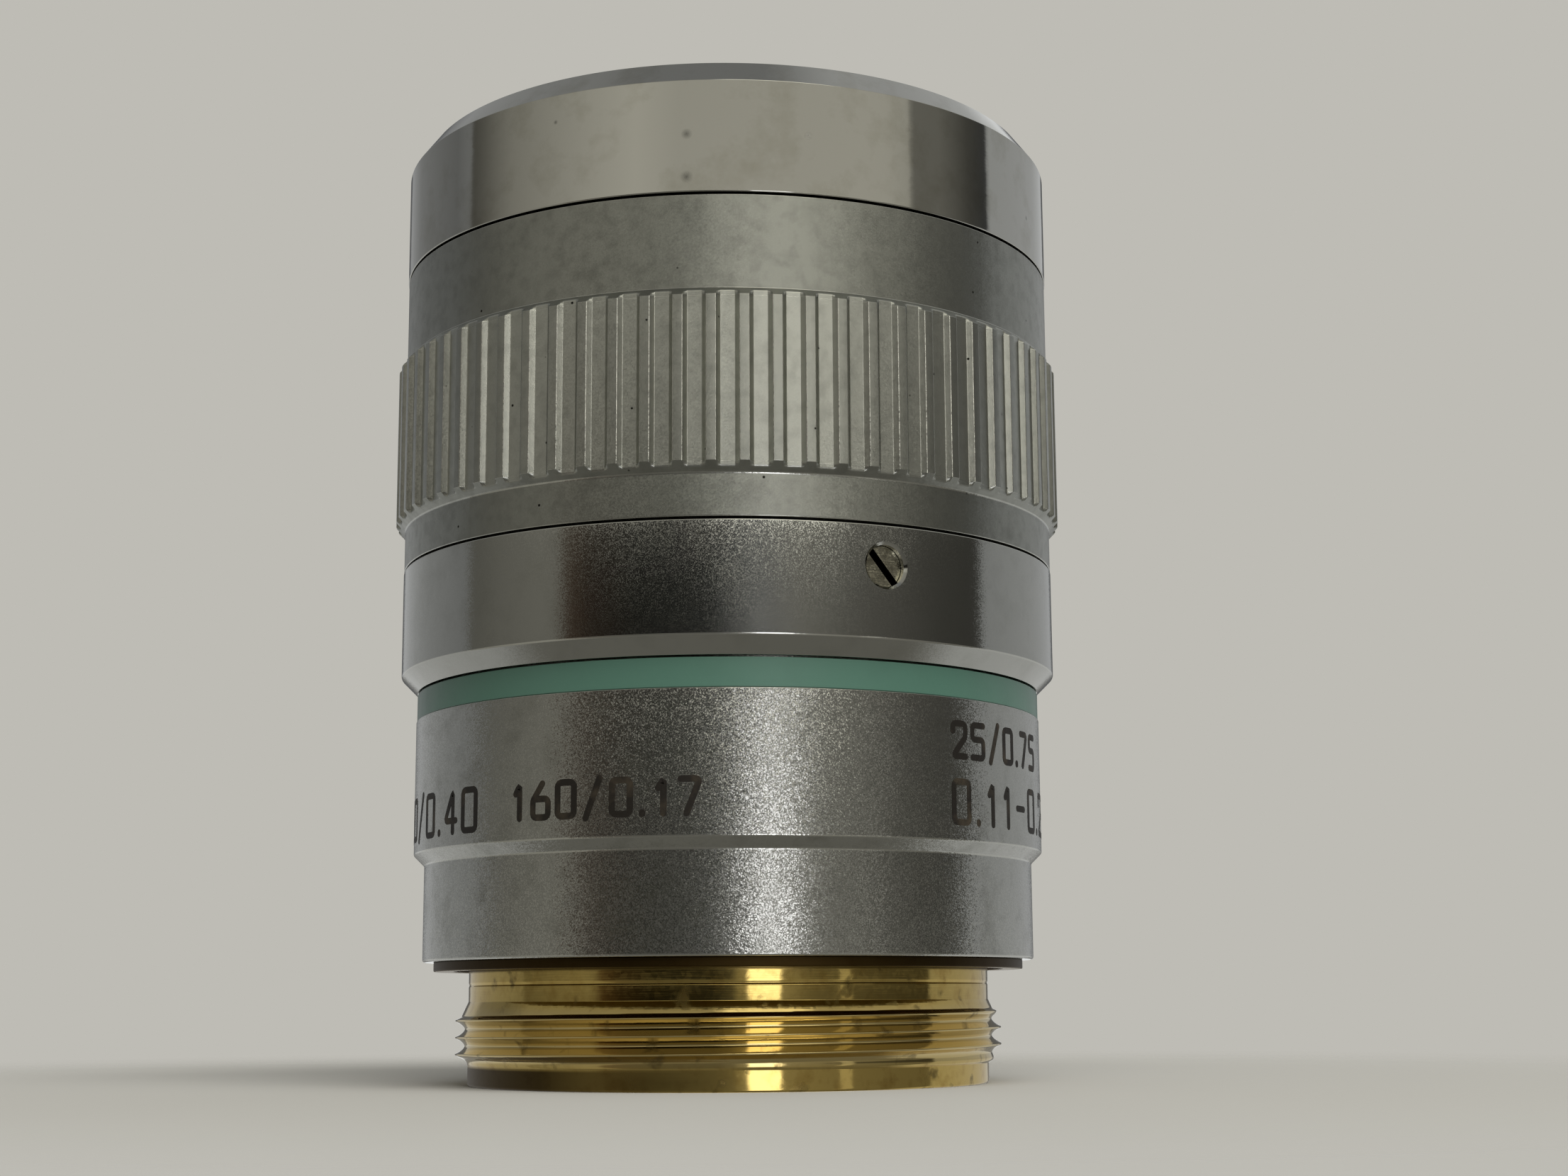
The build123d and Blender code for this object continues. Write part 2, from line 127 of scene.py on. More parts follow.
def add(tree, kind, inputs=None, **settings):
    """Adds a node, sets its properties, sets or links its inputs and returns its first output in use."""
    node = tree.nodes.new(kind)
    for key, value in settings.items():
        setattr(node, key, value)
    for key, value in (inputs or {}).items():
        if isinstance(value, bpy.types.NodeSocket):
            tree.links.new(value, node.inputs[key])
        else:
            node.inputs[key].default_value = value
    return next((socket for socket in node.outputs if socket.enabled), None)


print("mid grey in linear light:", round(linear("#808080")[0], 3))


# %% [markdown]
# Shiny metal is mostly a picture of the room, so the room is drawn with care: a pale tent, open in front
# where a dark card stands beside the lens, with a narrow lamp before the card. Lamps and cards could be
# real objects round the part. Here they are painted on the world, which is simpler and has no noise: its
# light depends only on the bearing of a ray round the object and on its height above the table.

# %% Studio: bearing and height of a ray
PALE = "#bebcb5"
world = bpy.data.worlds.new("light_tent")
bpy.context.scene.world = world
world.use_nodes = True
sky = world.node_tree
sky.nodes.clear()
ray = add(sky, "ShaderNodeTexCoord")
ray_x, ray_y, ray_z = add(sky, "ShaderNodeSeparateXYZ", {0: ray}).node.outputs
minus_y = add(sky, "ShaderNodeMath", {0: ray_y, 1: -1.0}, operation="MULTIPLY")
bearing = add(sky, "ShaderNodeMath", {0: ray_x, 1: minus_y}, operation="ARCTAN2")
turn_share = add(sky, "ShaderNodeMapRange", {0: bearing, 1: -pi, 2: pi})
height = add(sky, "ShaderNodeMath", {0: ray_z}, operation="ARCSINE")
print("studio nodes for the ray:", len(sky.nodes))

# %% [markdown]
# The tent has three rings of wall, one above the other. Each is a row of stops: bearing in degrees, with
# 0 towards the camera and positive to its right, then tint and light level. At the back a bright strip
# between two dark ones does for the rear view what lamp and card do for the front.

# %% Studio: three rings of wall
WARM = "#fffcf0"
COOL = "#f6f8fa"
RUST = "#ffd8b8"
BACK_STRIP = [(162, COOL, 0.12), (171, COOL, 0.12), (173, COOL, 1.1), (180, COOL, 1.1)]
BACK_LEFT = [(-at, tint, level) for at, tint, level in reversed(BACK_STRIP)]
LOW_WALL = [
    (-160, COOL, 0.50),
    (-127, COOL, 0.32),
    (-101, COOL, 0.24),
    (-99, WARM, 0.13),
    (-84, WARM, 0.17),
    (-66, WARM, 0.20),
    (-60, WARM, 0.19),
    (-56, RUST, 0.06),
    (-48, RUST, 0.025),
    (-32, WARM, 0.01),
    (-6, COOL, 0.02),
    (10, COOL, 0.13),
    (24, WARM, 0.16),
    (34, WARM, 0.14),
    (50, WARM, 0.10),
    (78, WARM, 0.06),
    (96, WARM, 0.05),
    (98, COOL, 0.34),
    (127, COOL, 0.40),
    (160, COOL, 0.46),
]
HIGH_WALL = [
    (-160, COOL, 0.36),
    (-143, COOL, 0.24),
    (-111, COOL, 0.17),
    (-103, COOL, 0.22),
    (-101, WARM, 0.09),
    (-96, WARM, 0.12),
    (-81, WARM, 0.26),
    (-47, WARM, 0.43),
    (-32, WARM, 0.50),
    (-17, WARM, 0.44),
    (47, WARM, 0.47),
    (57, WARM, 0.46),
    (66, WARM, 0.40),
    (68, WARM, 0.17),
    (80, WARM, 0.16),
    (94, WARM, 0.07),
    (104, COOL, 0.05),
    (106, COOL, 0.41),
    (143, COOL, 0.43),
    (160, COOL, 0.54),
]
CEILING = [
    (-180, COOL, 0.34),
    (-170, COOL, 0.18),
    (-162, COOL, 0.24),
    (-156, COOL, 0.33),
    (-134, COOL, 0.27),
    (-60, WARM, 0.30),
    (-8, WARM, 0.33),
    (0, WARM, 1.20),
    (38, WARM, 1.20),
    (46, WARM, 0.40),
    (134, COOL, 0.43),
    (150, COOL, 0.50),
    (160, COOL, 0.80),
    (164, COOL, 0.80),
    (168, COOL, 0.42),
    (180, COOL, 0.40),
]
walls = []
for stops in (BACK_LEFT + LOW_WALL + BACK_STRIP, BACK_LEFT + HIGH_WALL + BACK_STRIP, CEILING):
    ring = add(sky, "ShaderNodeValToRGB", {0: turn_share})
    marks_round = ring.node.color_ramp.elements
    while len(marks_round) < len(stops):
        marks_round.new(1.0)
    for mark, (degrees, tint, level) in zip(marks_round, stops):
        mark.position = degrees / 360 + 0.5
        mark.color = linear(tint, level)
    walls.append(ring)
print("stops in each ring of wall:", [len(ring.node.color_ramp.elements) for ring in walls])

# %% [markdown]
# The zenith is darker on the left than on the right, and the table under the object is painted dark:
# painted shade that the object throws on the table below it. The layers are mixed one over the other by
# the height of the ray, with soft borders, because a hard border would show as a line in polished metal.
# The table's edge adds a weak gleam below eye level.

# %% Studio: zenith and stacking
ZENITH_FROM, ZENITH_TO = 0.1, 0.3
ZENITH_LEFT, ZENITH_RIGHT = 0.22, 0.45
# Level of the painted shade that metal sees on the table straight below.
NADIR_LEVEL = 0.06
right_share = add(sky, "ShaderNodeMapRange", {0: ray_x, 1: ZENITH_FROM, 2: ZENITH_TO})
zenith_ends = {0: right_share, 6: linear(COOL, ZENITH_LEFT), 7: linear(COOL, ZENITH_RIGHT)}
zenith = add(sky, "ShaderNodeMix", zenith_ends, data_type="RGBA")
nadir = linear(WARM, NADIR_LEVEL)
# Each layer, the height in degrees where it starts and the height where it is full.
LAYERS = [(walls[1], 11.5, 15.0), (walls[2], 23.0, 30.0), (zenith, 62.0, 75.0), (nadir, -42.0, -55.0)]
tent = walls[0]
for layer, start, full in LAYERS:
    limits = {0: height, 1: radians(start), 2: radians(full)}
    share = add(sky, "ShaderNodeMapRange", limits, interpolation_type="SMOOTHSTEP")
    tent = add(sky, "ShaderNodeMix", {0: share, 6: tent, 7: layer}, data_type="RGBA")
GLEAM_LEVEL, GLEAM_START, GLEAM_FULL = 0.11, 1.2, -1.5
low_limits = {0: height, 1: radians(GLEAM_START), 2: radians(GLEAM_FULL)}
low_share = add(sky, "ShaderNodeMapRange", low_limits, interpolation_type="SMOOTHSTEP")
gleam = {0: low_share, 6: tent, 7: linear(WARM, GLEAM_LEVEL)}
tent = add(sky, "ShaderNodeMix", gleam, data_type="RGBA", blend_type="ADD")
print("layers of the tent:", len(LAYERS) + 2)

# %% [markdown]
# The lamps stand before the walls: a tall window with a weak halo, a flat one above it and a slit to its
# right. Each of a lamp's four edges is a soft step in bearing or height, and their product is the lamp.
# Area lamps could do the same, but their reflections would have hard corners.

# %% Studio: lamps
# Each edge is an angle, the degrees where the lamp is still dark and the degrees where it is full.
TALL_LAMP = [(bearing, 7.0, 9.0), (bearing, 23.0, 21.0), (height, -32.0, -28.0), (height, 6.7, -1.0)]
FLAT_LAMP = [(bearing, -18.0, 6.0), (bearing, 50.0, 30.0), (height, 13.4, 14.6), (height, 17.5, 16.0)]
HALO = [(bearing, 1.0, 5.0), (bearing, 36.0, 24.0), (height, -32.0, -28.0), (height, 4.0, 0.5)]
SIDE_LAMP = [(bearing, 47.5, 49.0), (bearing, 54.5, 53.0), (height, -32.0, -28.0), (height, 4.0, 0.0)]
DAYLIGHT, LAMPLIGHT = "#fafaff", "#fffdf4"
# Each lamp is a tint, a light level and its four edges.
LAMPS = [
    (LAMPLIGHT, 0.27, HALO),
    (DAYLIGHT, 2.5, TALL_LAMP),
    (LAMPLIGHT, 2.7, FLAT_LAMP),
    (LAMPLIGHT, 0.45, SIDE_LAMP),
]
for tint, level, edges in LAMPS:
    lamp = 1.0
    for angle, dark_at, full_at in edges:
        limits = {0: angle, 1: radians(dark_at), 2: radians(full_at)}
        edge = add(sky, "ShaderNodeMapRange", limits, interpolation_type="SMOOTHSTEP")
        lamp = add(sky, "ShaderNodeMath", {0: lamp, 1: edge}, operation="MULTIPLY")
    tent = add(sky, "ShaderNodeMix", {0: lamp, 6: tent, 7: linear(tint, level)}, data_type="RGBA")
print("lamps before the tent:", len(LAMPS))

# %% [markdown]
# The camera, and a ray that has gone through glass, see one plain pale background instead of the walls.
# Metal keeps seeing the tent, whose walls are the same pale stuff seen in the studio's light.

# %% Studio: plain background
path = add(sky, "ShaderNodeLightPath").node
seen_by = {0: path.outputs["Is Camera Ray"], 1: path.outputs["Is Transmission Ray"]}
plain = add(sky, "ShaderNodeMath", seen_by, operation="MAXIMUM")
seen = add(sky, "ShaderNodeMix", {0: plain, 6: tent, 7: linear(PALE)}, data_type="RGBA")
glow = add(sky, "ShaderNodeBackground", {"Color": seen})
add(sky, "ShaderNodeOutputWorld", {"Surface": glow})
print("studio nodes in all:", len(sky.nodes))


# %% [markdown]
# A lathe profile is a closed outline of radius and height. Its corners are small arcs, because a real
# edge is always broken a little and catches a thin line of light. A bevel modifier could round the edges
# of a finished mesh, but arcs in the profile give exact roundings and an even grid.

# %% Rounded outline
ARC_STEPS = 6
ARC_POINTS = ARC_STEPS + 1
TINY = 1e-9


def rounded(corners):
    """Closed outline from (radius, height, rounding) corners, anticlockwise with the material on the
    left. At each corner an arc of the given rounding touches both lines: its centre lies on the
    line that halves the angle, at rounding / sin(half angle) from the corner."""
    table = np.asarray(corners, float)
    point, rounding = table[:, :2], table[:, 2:]
    back = np.roll(point, 1, 0) - point
    ahead = np.roll(point, -1, 0) - point
    back /= np.linalg.norm(back, axis=1, keepdims=True)
    ahead /= np.linalg.norm(ahead, axis=1, keepdims=True)
    half = np.arccos(np.clip((back * ahead).sum(1, keepdims=True), -1, 1)) / 2
    half = np.maximum(half, TINY)
    middle = back + ahead
    middle /= np.linalg.norm(middle, axis=1, keepdims=True)
    centre = point + middle * rounding / np.sin(half)
    first = point + back * rounding / np.tan(half) - centre
    last = point + ahead * rounding / np.tan(half) - centre
    start = np.arctan2(first[:, 1], first[:, 0])
    sweep = np.arctan2(last[:, 1], last[:, 0]) - start
    sweep = (sweep + pi) % (2 * pi) - pi
    angle = start[:, None] + sweep[:, None] * np.linspace(0, 1, ARC_POINTS)
    arc = centre[:, None] + rounding[:, None] * np.stack([np.cos(angle), np.sin(angle)], -1)
    return arc.reshape(-1, 2)


print("points on a rounded square:", len(rounded([(0, 0, 0.1), (1, 0, 0.1), (1, 1, 0.1), (0, 1, 0.1)])))


# %% [markdown]
# Carried round the axis, a profile gives a grid of points that is closed both ways. The grid's own
# tangents give the shading normals, which are smoother than what Blender would average from the faces.

# %% Grid helpers
COLUMNS = 480
ROUND = np.arange(COLUMNS) * 2 * pi / COLUMNS


def carry_round(radius, height, angles):
    """Points (radius cos a, radius sin a, height) for every profile point and every angle."""
    radius, height, angles = np.broadcast_arrays(radius, height, angles)
    return np.stack([radius * np.cos(angles), radius * np.sin(angles), height], -1)


def grid_faces(rows, columns):
    """Quads of a grid that is closed both ways, turned so that they face outwards."""
    i, j = np.meshgrid(np.arange(rows), np.arange(columns), indexing="ij")
    up, on = (i + 1) % rows, (j + 1) % columns
    corners = [i * columns + j, i * columns + on, up * columns + on, up * columns + j]
    return np.stack(corners, -1).reshape(-1, 4)


def grid_normals(points):
    """Unit normals of a grid closed both ways: tangent round the axis crossed with that along it."""
    along = np.roll(points, -1, 0) - np.roll(points, 1, 0)
    across = np.roll(points, -1, 1) - np.roll(points, 1, 1)
    normal = np.cross(across, along)
    return normal / np.linalg.norm(normal, axis=2, keepdims=True)


print("columns round the axis:", COLUMNS)


# %% [markdown]
# A finished grid becomes a mesh that rides on one of the moving bodies. Where it stands for a packed
# piece, that piece is hidden and stays only for collision.

# %% Mesh helpers
def make_piece(name, points, faces, normals, material, body):
    """Puts points in millimetres, faces and a normal per face corner into a mesh that rides on a body."""
    mesh = bpy.data.meshes.new(name)
    mesh.from_pydata((np.reshape(points, (-1, 3)) * MM).tolist(), [], faces.tolist())
    mesh.shade_smooth()
    mesh.normals_split_custom_set(np.reshape(normals, (-1, 3)).tolist())
    mesh.materials.append(material)
    piece = bpy.data.objects.new(name, mesh)
    bpy.context.scene.collection.objects.link(piece)
    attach(piece, body)
    print(name, "faces:", len(mesh.polygons))
    return piece


def grid_piece(name, points, material, body, slot, node):
    """A surface whose grid is closed both ways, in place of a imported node."""
    faces = grid_faces(*points.shape[:2])
    normals = grid_normals(points).reshape(-1, 3)[faces]
    piece = make_piece(name, points, faces, normals, material, body)
    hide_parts(node)
    return piece


ARC_WEAR = np.sin(np.linspace(0, pi, ARC_POINTS))


def tag(piece, name, values):
    """Writes one value per point into a named attribute, for the finish to read."""
    layer = piece.data.attributes.new(name, "FLOAT", "POINT")
    layer.data.foreach_set("value", np.ravel(values).astype(np.float32))


def turned(name, corners, material, body, slot, node):
    """A lathe-turned ring: a rounded profile carried once round the axis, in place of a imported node.
    The attribute "edge" is 1 in the middle of each rounding and 0 on the walls between."""
    profile = rounded(corners)
    points = carry_round(profile[:, :1], profile[:, 1:], ROUND)
    piece = grid_piece(name, points, material, body, slot, node)
    tag(piece, "edge", np.repeat(np.tile(ARC_WEAR, len(corners)), COLUMNS))
    return piece


# %% [markdown]
# The solid finishes share one recipe, because the same things happen to all of them: blasting or turning
# leaves a grain, handling leaves duller clouds and burnished edges, and pits and dirt leave marks. The
# grain is a pattern of tiny facets, each tilted by chance, so it sparkles where a facet turns a lamp's
# image towards the eye. A bump map could give that too, but it fades where the facets are smaller than a
# pixel. Clouds shift colour and roughness a little, attributes of the mesh say where an edge is burnished
# or a face milled, and marks cover all of it. Two marks are painted shade, not dirt: the dark in the
# screw slots and the dark brown on the brass flange under the barrel.

# %% Recipe of a solid finish
CLOUD_START, CLOUD_FULL = 0.5, 0.72
CLOUD_DETAIL, CLOUD_ROUGHNESS = 5.0, 0.6
RING_STRETCH = (0.03, 0.03, 1.0)
RING_DETAIL = 2.0
DIRT = "#1a1712"
MARK_ROUGHNESS = 0.5
MID_DRAW = (0.5, 0.5, 0.5)


def finish(
    name, clean, worn, roughness, grain, clouds, rings=None, faces=(), marks=(), dirt_and_shade=DIRT, **sockets
):
    """Grain is (facet size, tilt), clouds are (size, cover, added roughness) and rings round the axis
    are (spacing, depth), all in millimetres. Faces are (attribute, colour, roughness), and the
    attribute says how much of that face there is. Each mark gives a share of the mark colour: grime
    and tarnish for most marks, painted shade for the screw slots and the brass flange."""
    material = bpy.data.materials.new(name)
    material.use_nodes = True
    tree = material.node_tree
    tree.nodes.clear()
    place = add(tree, "ShaderNodeTexCoord").node.outputs["Object"]
    mm = add(tree, "ShaderNodeVectorMath", {0: place, "Scale": 1 / MM}, operation="SCALE")
    cloud_size, cover, dulling = clouds
    cloud_inputs = {"Vector": mm, "Scale": 1 / cloud_size}
    cloud_inputs.update({"Detail": CLOUD_DETAIL, "Roughness": CLOUD_ROUGHNESS})
    cloud = add(tree, "ShaderNodeTexNoise", cloud_inputs)
    dull = add(tree, "ShaderNodeMapRange", {0: cloud, 1: CLOUD_START, 2: CLOUD_FULL, 4: cover})
    colour = add(tree, "ShaderNodeMix", {0: dull, 6: linear(clean), 7: linear(worn)}, data_type="RGBA")
    matt = add(tree, "ShaderNodeMapRange", {0: dull, 3: roughness, 4: roughness + dulling})
    for attribute, face_colour, face_roughness in faces:
        face = add(tree, "ShaderNodeAttribute", attribute_name=attribute).node.outputs["Fac"]
        colour = add(tree, "ShaderNodeMix", {0: face, 6: colour, 7: linear(face_colour)}, data_type="RGBA")
        matt = add(tree, "ShaderNodeMix", {0: face, 2: matt, 3: face_roughness})
    for mark in marks:
        mark_share = mark(tree, mm)
        colour = add(tree, "ShaderNodeMix", {0: mark_share, 6: colour, 7: linear(dirt_and_shade)}, data_type="RGBA")
        matt = add(tree, "ShaderNodeMix", {0: mark_share, 2: matt, 3: MARK_ROUGHNESS})
    grain_size, tilt = grain
    cells = add(tree, "ShaderNodeTexVoronoi", {"Vector": mm, "Scale": 1 / grain_size}).node
    facets = cells.outputs["Color"]
    lean = add(tree, "ShaderNodeVectorMath", {0: facets, 1: MID_DRAW}, operation="SUBTRACT")
    lean = add(tree, "ShaderNodeVectorMath", {0: lean, "Scale": tilt}, operation="SCALE")
    straight = add(tree, "ShaderNodeNewGeometry").node.outputs["Normal"]
    skin = add(tree, "ShaderNodeVectorMath", {0: straight, 1: lean}, operation="ADD")
    skin = add(tree, "ShaderNodeVectorMath", {0: skin}, operation="NORMALIZE")
    if rings:
        spacing, ring_depth = rings
        flat = add(tree, "ShaderNodeVectorMath", {0: mm, 1: RING_STRETCH}, operation="MULTIPLY")
        line_inputs = {"Vector": flat, "Scale": 1 / spacing, "Detail": RING_DETAIL}
        lines = add(tree, "ShaderNodeTexNoise", line_inputs)
        skin = add(tree, "ShaderNodeBump", {"Distance": ring_depth * MM, "Height": lines, "Normal": skin})
    named = {key.replace("_", " "): value for key, value in sockets.items()}
    looks = {"Base Color": colour, "Roughness": matt, "Normal": skin, **named}
    shader = add(tree, "ShaderNodeBsdfPrincipled", looks)
    add(tree, "ShaderNodeOutputMaterial", {"Surface": shader})
    print(name, "nodes:", len(tree.nodes))
    return material


# %% [markdown]
# Specks are pores in the plating and dust that sits in them. A random cell pattern scatters points
# through space, and a small ball round some of them is dark: where the surface cuts a ball, a speck
# shows. Stains are what years in the hand leave: soft patches where a noise is high.

# %% Specks and stains
def specks(spacing, radius, share):
    """A mark: dark balls of a radius round the given share of random points, about one spacing apart."""

    def mark_share(tree, mm):
        cells = add(tree, "ShaderNodeTexVoronoi", {"Vector": mm, "Scale": 1 / spacing}).node
        edge = radius / spacing
        ball = add(tree, "ShaderNodeMapRange", {0: cells.outputs["Distance"], 1: edge, 2: edge / 2})
        draw = add(tree, "ShaderNodeSeparateColor", {0: cells.outputs["Color"]})
        some = add(tree, "ShaderNodeMath", {0: draw, 1: share}, operation="LESS_THAN")
        return add(tree, "ShaderNodeMath", {0: ball, 1: some}, operation="MULTIPLY")

    return mark_share


STAIN_START, STAIN_FULL = 0.46, 0.68
STAIN_DETAIL = 4.0


def stains(size, share):
    """A mark: soft stains where a noise of the given size is high, up to the given share of the mark
    colour.
    """

    def mark_share(tree, mm):
        patch = {"Vector": mm, "Scale": 1 / size, "Detail": STAIN_DETAIL}
        noise = add(tree, "ShaderNodeTexNoise", patch)
        return add(tree, "ShaderNodeMapRange", {0: noise, 1: STAIN_START, 2: STAIN_FULL, 4: share})

    return mark_share


print("stains begin where the noise passes", STAIN_START, "and are full at", STAIN_FULL)


# %% [markdown]
# The rear barrel is brass, blasted with glass beads and then chrome plated. Each bead left a tiny dish,
# so the plating mirrors the room in thousands of tilted facets: dark card and lamp run into each other
# with a sparkle. The dishes are about 0.05 mm wide, and the facets are drawn at that size. Edges that
# hands rub are burnished bright. The index ring was blasted with finer beads, and the collar longest,
# which made it dull. The knurl was milled afterwards and is paler than the turned bands beside it.

# %% Blasted chrome finishes
BURNISHED = ("#cfcfc7", 0.12)
satin_chrome = finish(
    "satin_chrome",
    clean="#bfbfb8",
    worn="#a2a29a",
    roughness=0.19,
    grain=(0.04, 0.15),
    clouds=(1.5, 0.7, 0.06),
    faces=[("edge", *BURNISHED)],
    marks=[specks(2.4, 0.07, 0.4)],
    Metallic=1.0,
)
fine_satin_chrome = finish(
    "fine_satin_chrome",
    clean="#bdbdb6",
    worn="#adada5",
    roughness=0.105,
    grain=(0.035, 0.04),
    clouds=(1.8, 0.5, 0.05),
    faces=[("edge", *BURNISHED)],
    marks=[specks(2.8, 0.06, 0.3)],
    Metallic=1.0,
)
blasted_chrome = finish(
    "blasted_chrome",
    clean="#a6a79f",
    worn="#96978f",
    roughness=0.3,
    grain=(0.05, 0.06),
    clouds=(1.3, 0.6, 0.06),
    faces=[("milled", "#c2c3ba", 0.3), ("edge", *BURNISHED)],
    marks=[stains(0.6, 0.14), specks(1.2, 0.075, 0.8)],
    Metallic=1.0,
)


# %% [markdown]
# The front cap is polished chrome, almost a mirror. Polishing on the lathe leaves hair-fine rings. The
# real ones are some thousandths of a millimetre apart, and they are drawn coarser, so that they show.
# Years of use have left a few pits, which are round dark spots at known places on the wall.

# %% Polished chrome
CAP_PITS = [
    (-6.5, 40.0, 0.26),
    (13.0, 40.05, 0.2),
    (-6.5, 38.1, 0.3),
    (-29.0, 41.2, 0.12),
    (64.0, 39.2, 0.14),
]
PIT_SHARE = 0.55


def pits(tree, mm):
    """A mark: dark spots on the cap's wall from (bearing in degrees, height, radius), each a ball cut
    by the wall."""
    mark_share = 0.0
    for degrees, level, radius in CAP_PITS:
        around = radians(degrees) - pi / 2
        centre = (CAP_RADIUS * cos(around), CAP_RADIUS * sin(around), level)
        away = add(tree, "ShaderNodeVectorMath", {0: mm, 1: centre}, operation="DISTANCE")
        spot = add(tree, "ShaderNodeMapRange", {0: away, 1: radius, 2: 0.0, 4: PIT_SHARE})
        mark_share = add(tree, "ShaderNodeMath", {0: mark_share, 1: spot}, operation="MAXIMUM")
    return mark_share


polished_chrome = finish(
    "polished_chrome",
    clean="#c8c7bf",
    worn="#b3b1a5",
    roughness=0.045,
    grain=(0.3, 0.004),
    clouds=(2.0, 0.7, 0.04),
    rings=(0.08, 0.0006),
    marks=[specks(2.6, 0.06, 0.3), pits],
    Metallic=1.0,
)


# %% [markdown]
# The mount is bare turned brass. Where fingers and the nosepiece never rub, brass goes brown in scattered
# spots. The flange, from its underside up, is painted dark brown: painted shade under the barrel's edge.
# Low on one side of the pilot the brass is a darker brown. The mark below joins these three. The brass
# pieces inside were never touched and stay clean. Between two flanks of the thread light meets the brass
# twice and comes out browner, so the thread gets a paler colour than the walls.

# %% Turned brass
# Heights of the flange's painted shade, then heights and side of the pilot's darker brown.
FLANGE_SHADE = (4.98, 5.12)
PILOT_DARK = (1.0, 0.8)
PILOT_DARK_SIDE = (0.0, -8.0)
SPOT_SIZE = 1.1
SPOT_EDGE = (0.6, 0.72)
SPOT_DETAIL = 4.0
FLANGE_SHADE_SHARE, PILOT_SHARE, SPOT_SHARE = 0.95, 0.9, 0.6


def tarnish_and_shade(tree, mm):
    """A mark: painted shade on the flange from its underside up, a darker brown low on the pilot towards
    -X, and tarnish spots where a noise is high.
    """
    axes = add(tree, "ShaderNodeSeparateXYZ", {0: mm}).node.outputs
    x, z = axes["X"], axes["Z"]
    flange_limits = {0: z, 1: FLANGE_SHADE[0], 2: FLANGE_SHADE[1], 4: FLANGE_SHADE_SHARE}
    flange = add(tree, "ShaderNodeMapRange", flange_limits)
    pilot = add(tree, "ShaderNodeMapRange", {0: z, 1: PILOT_DARK[0], 2: PILOT_DARK[1]})
    side = add(tree, "ShaderNodeMapRange", {0: x, 1: PILOT_DARK_SIDE[0], 2: PILOT_DARK_SIDE[1], 4: PILOT_SHARE})
    pilot = add(tree, "ShaderNodeMath", {0: pilot, 1: side}, operation="MULTIPLY")
    blotch_inputs = {"Vector": mm, "Scale": 1 / SPOT_SIZE, "Detail": SPOT_DETAIL}
    blotch = add(tree, "ShaderNodeTexNoise", blotch_inputs)
    spots = add(tree, "ShaderNodeMapRange", {0: blotch, 1: SPOT_EDGE[0], 2: SPOT_EDGE[1], 4: SPOT_SHARE})
    edges = add(tree, "ShaderNodeMath", {0: flange, 1: pilot}, operation="MAXIMUM")
    return add(tree, "ShaderNodeMath", {0: edges, 1: spots}, operation="MAXIMUM")


brass_looks = {
    "clean": "#d4b86c",
    "worn": "#b3924c",
    "roughness": 0.07,
    "grain": (0.2, 0.008),
    "clouds": (0.9, 0.7, 0.06),
    "rings": (0.06, 0.0008),
    "Metallic": 1.0,
}
tarnished_and_shaded_brass = finish(
    "tarnished_and_shaded_brass",
    faces=[("root", "#dcc68a", 0.07)],
    marks=[tarnish_and_shade, specks(1.4, 0.06, 0.4)],
    # The mark colour: tarnish brown, which is also the painted shade on the flange.
    dirt_and_shade="#2a1b0d",
    **brass_looks,
)
clean_brass = finish("clean_brass", **brass_looks)


# %% [markdown]
# Enamel paint is sprayed into the colour ring's groove and baked: an even teal with a soft gloss. The
# inner cells are aluminium, anodised and dyed black, with a fine matt grain. The grub screws are
# blackened steel, scratched bright by a screwdriver, and their slots are darkened as painted shade. The
# slip washers are dark plastic, and the engraving is filled with brown-black paint that has worn in
# places. The grain of paint, dye and plastic is really finer than a tenth of a millimetre, and it is drawn
# at about that size, so that it shows.

# %% Paint, anodising, steel and plastic
# Radii where the painted shade in the screw slots begins and where it is full.
SLOT_TOP, SLOT_DARK = 14.83, 14.75
ACROSS_AXIS = (1.0, 1.0, 0.0)


def slot_shade(tree, mm):
    """A mark: painted shade in the screw slots, below the radius of the screws' ends."""
    from_axis = add(tree, "ShaderNodeVectorMath", {0: mm, 1: ACROSS_AXIS}, operation="MULTIPLY")
    radius = add(tree, "ShaderNodeVectorMath", {0: from_axis}, operation="LENGTH")
    return add(tree, "ShaderNodeMapRange", {0: radius, 1: SLOT_TOP, 2: SLOT_DARK})


green_enamel = finish(
    "green_enamel",
    clean="#507465",
    worn="#4b6d5f",
    roughness=0.35,
    grain=(0.1, 0.02),
    clouds=(2.5, 0.5, 0.06),
    Coat_Weight=0.12,
    Coat_Roughness=0.2,
)
black_anodised = finish(
    "black_anodised",
    clean="#131314",
    worn="#1a1a1b",
    roughness=0.42,
    grain=(0.08, 0.05),
    clouds=(1.5, 0.6, 0.08),
)
scratched_steel = finish(
    "scratched_steel",
    clean="#a8a492",
    worn="#4f4a3c",
    roughness=0.2,
    grain=(0.08, 0.1),
    clouds=(0.5, 0.9, 0.2),
    rings=(0.05, 0.006),
    # The slot mark and the colour below it are painted shade in the screw slots.
    marks=[slot_shade],
    dirt_and_shade="#0c0b08",
    Metallic=1.0,
)
slip_plastic = finish(
    "slip_plastic",
    clean="#26251f",
    worn="#2e2d27",
    roughness=0.5,
    grain=(0.1, 0.04),
    clouds=(1.5, 0.5, 0.05),
)
engraving_paint = finish(
    "engraving_paint",
    clean="#17120b",
    worn="#453c2e",
    roughness=0.6,
    grain=(0.12, 0.06),
    clouds=(1.6, 0.8, 0.1),
)


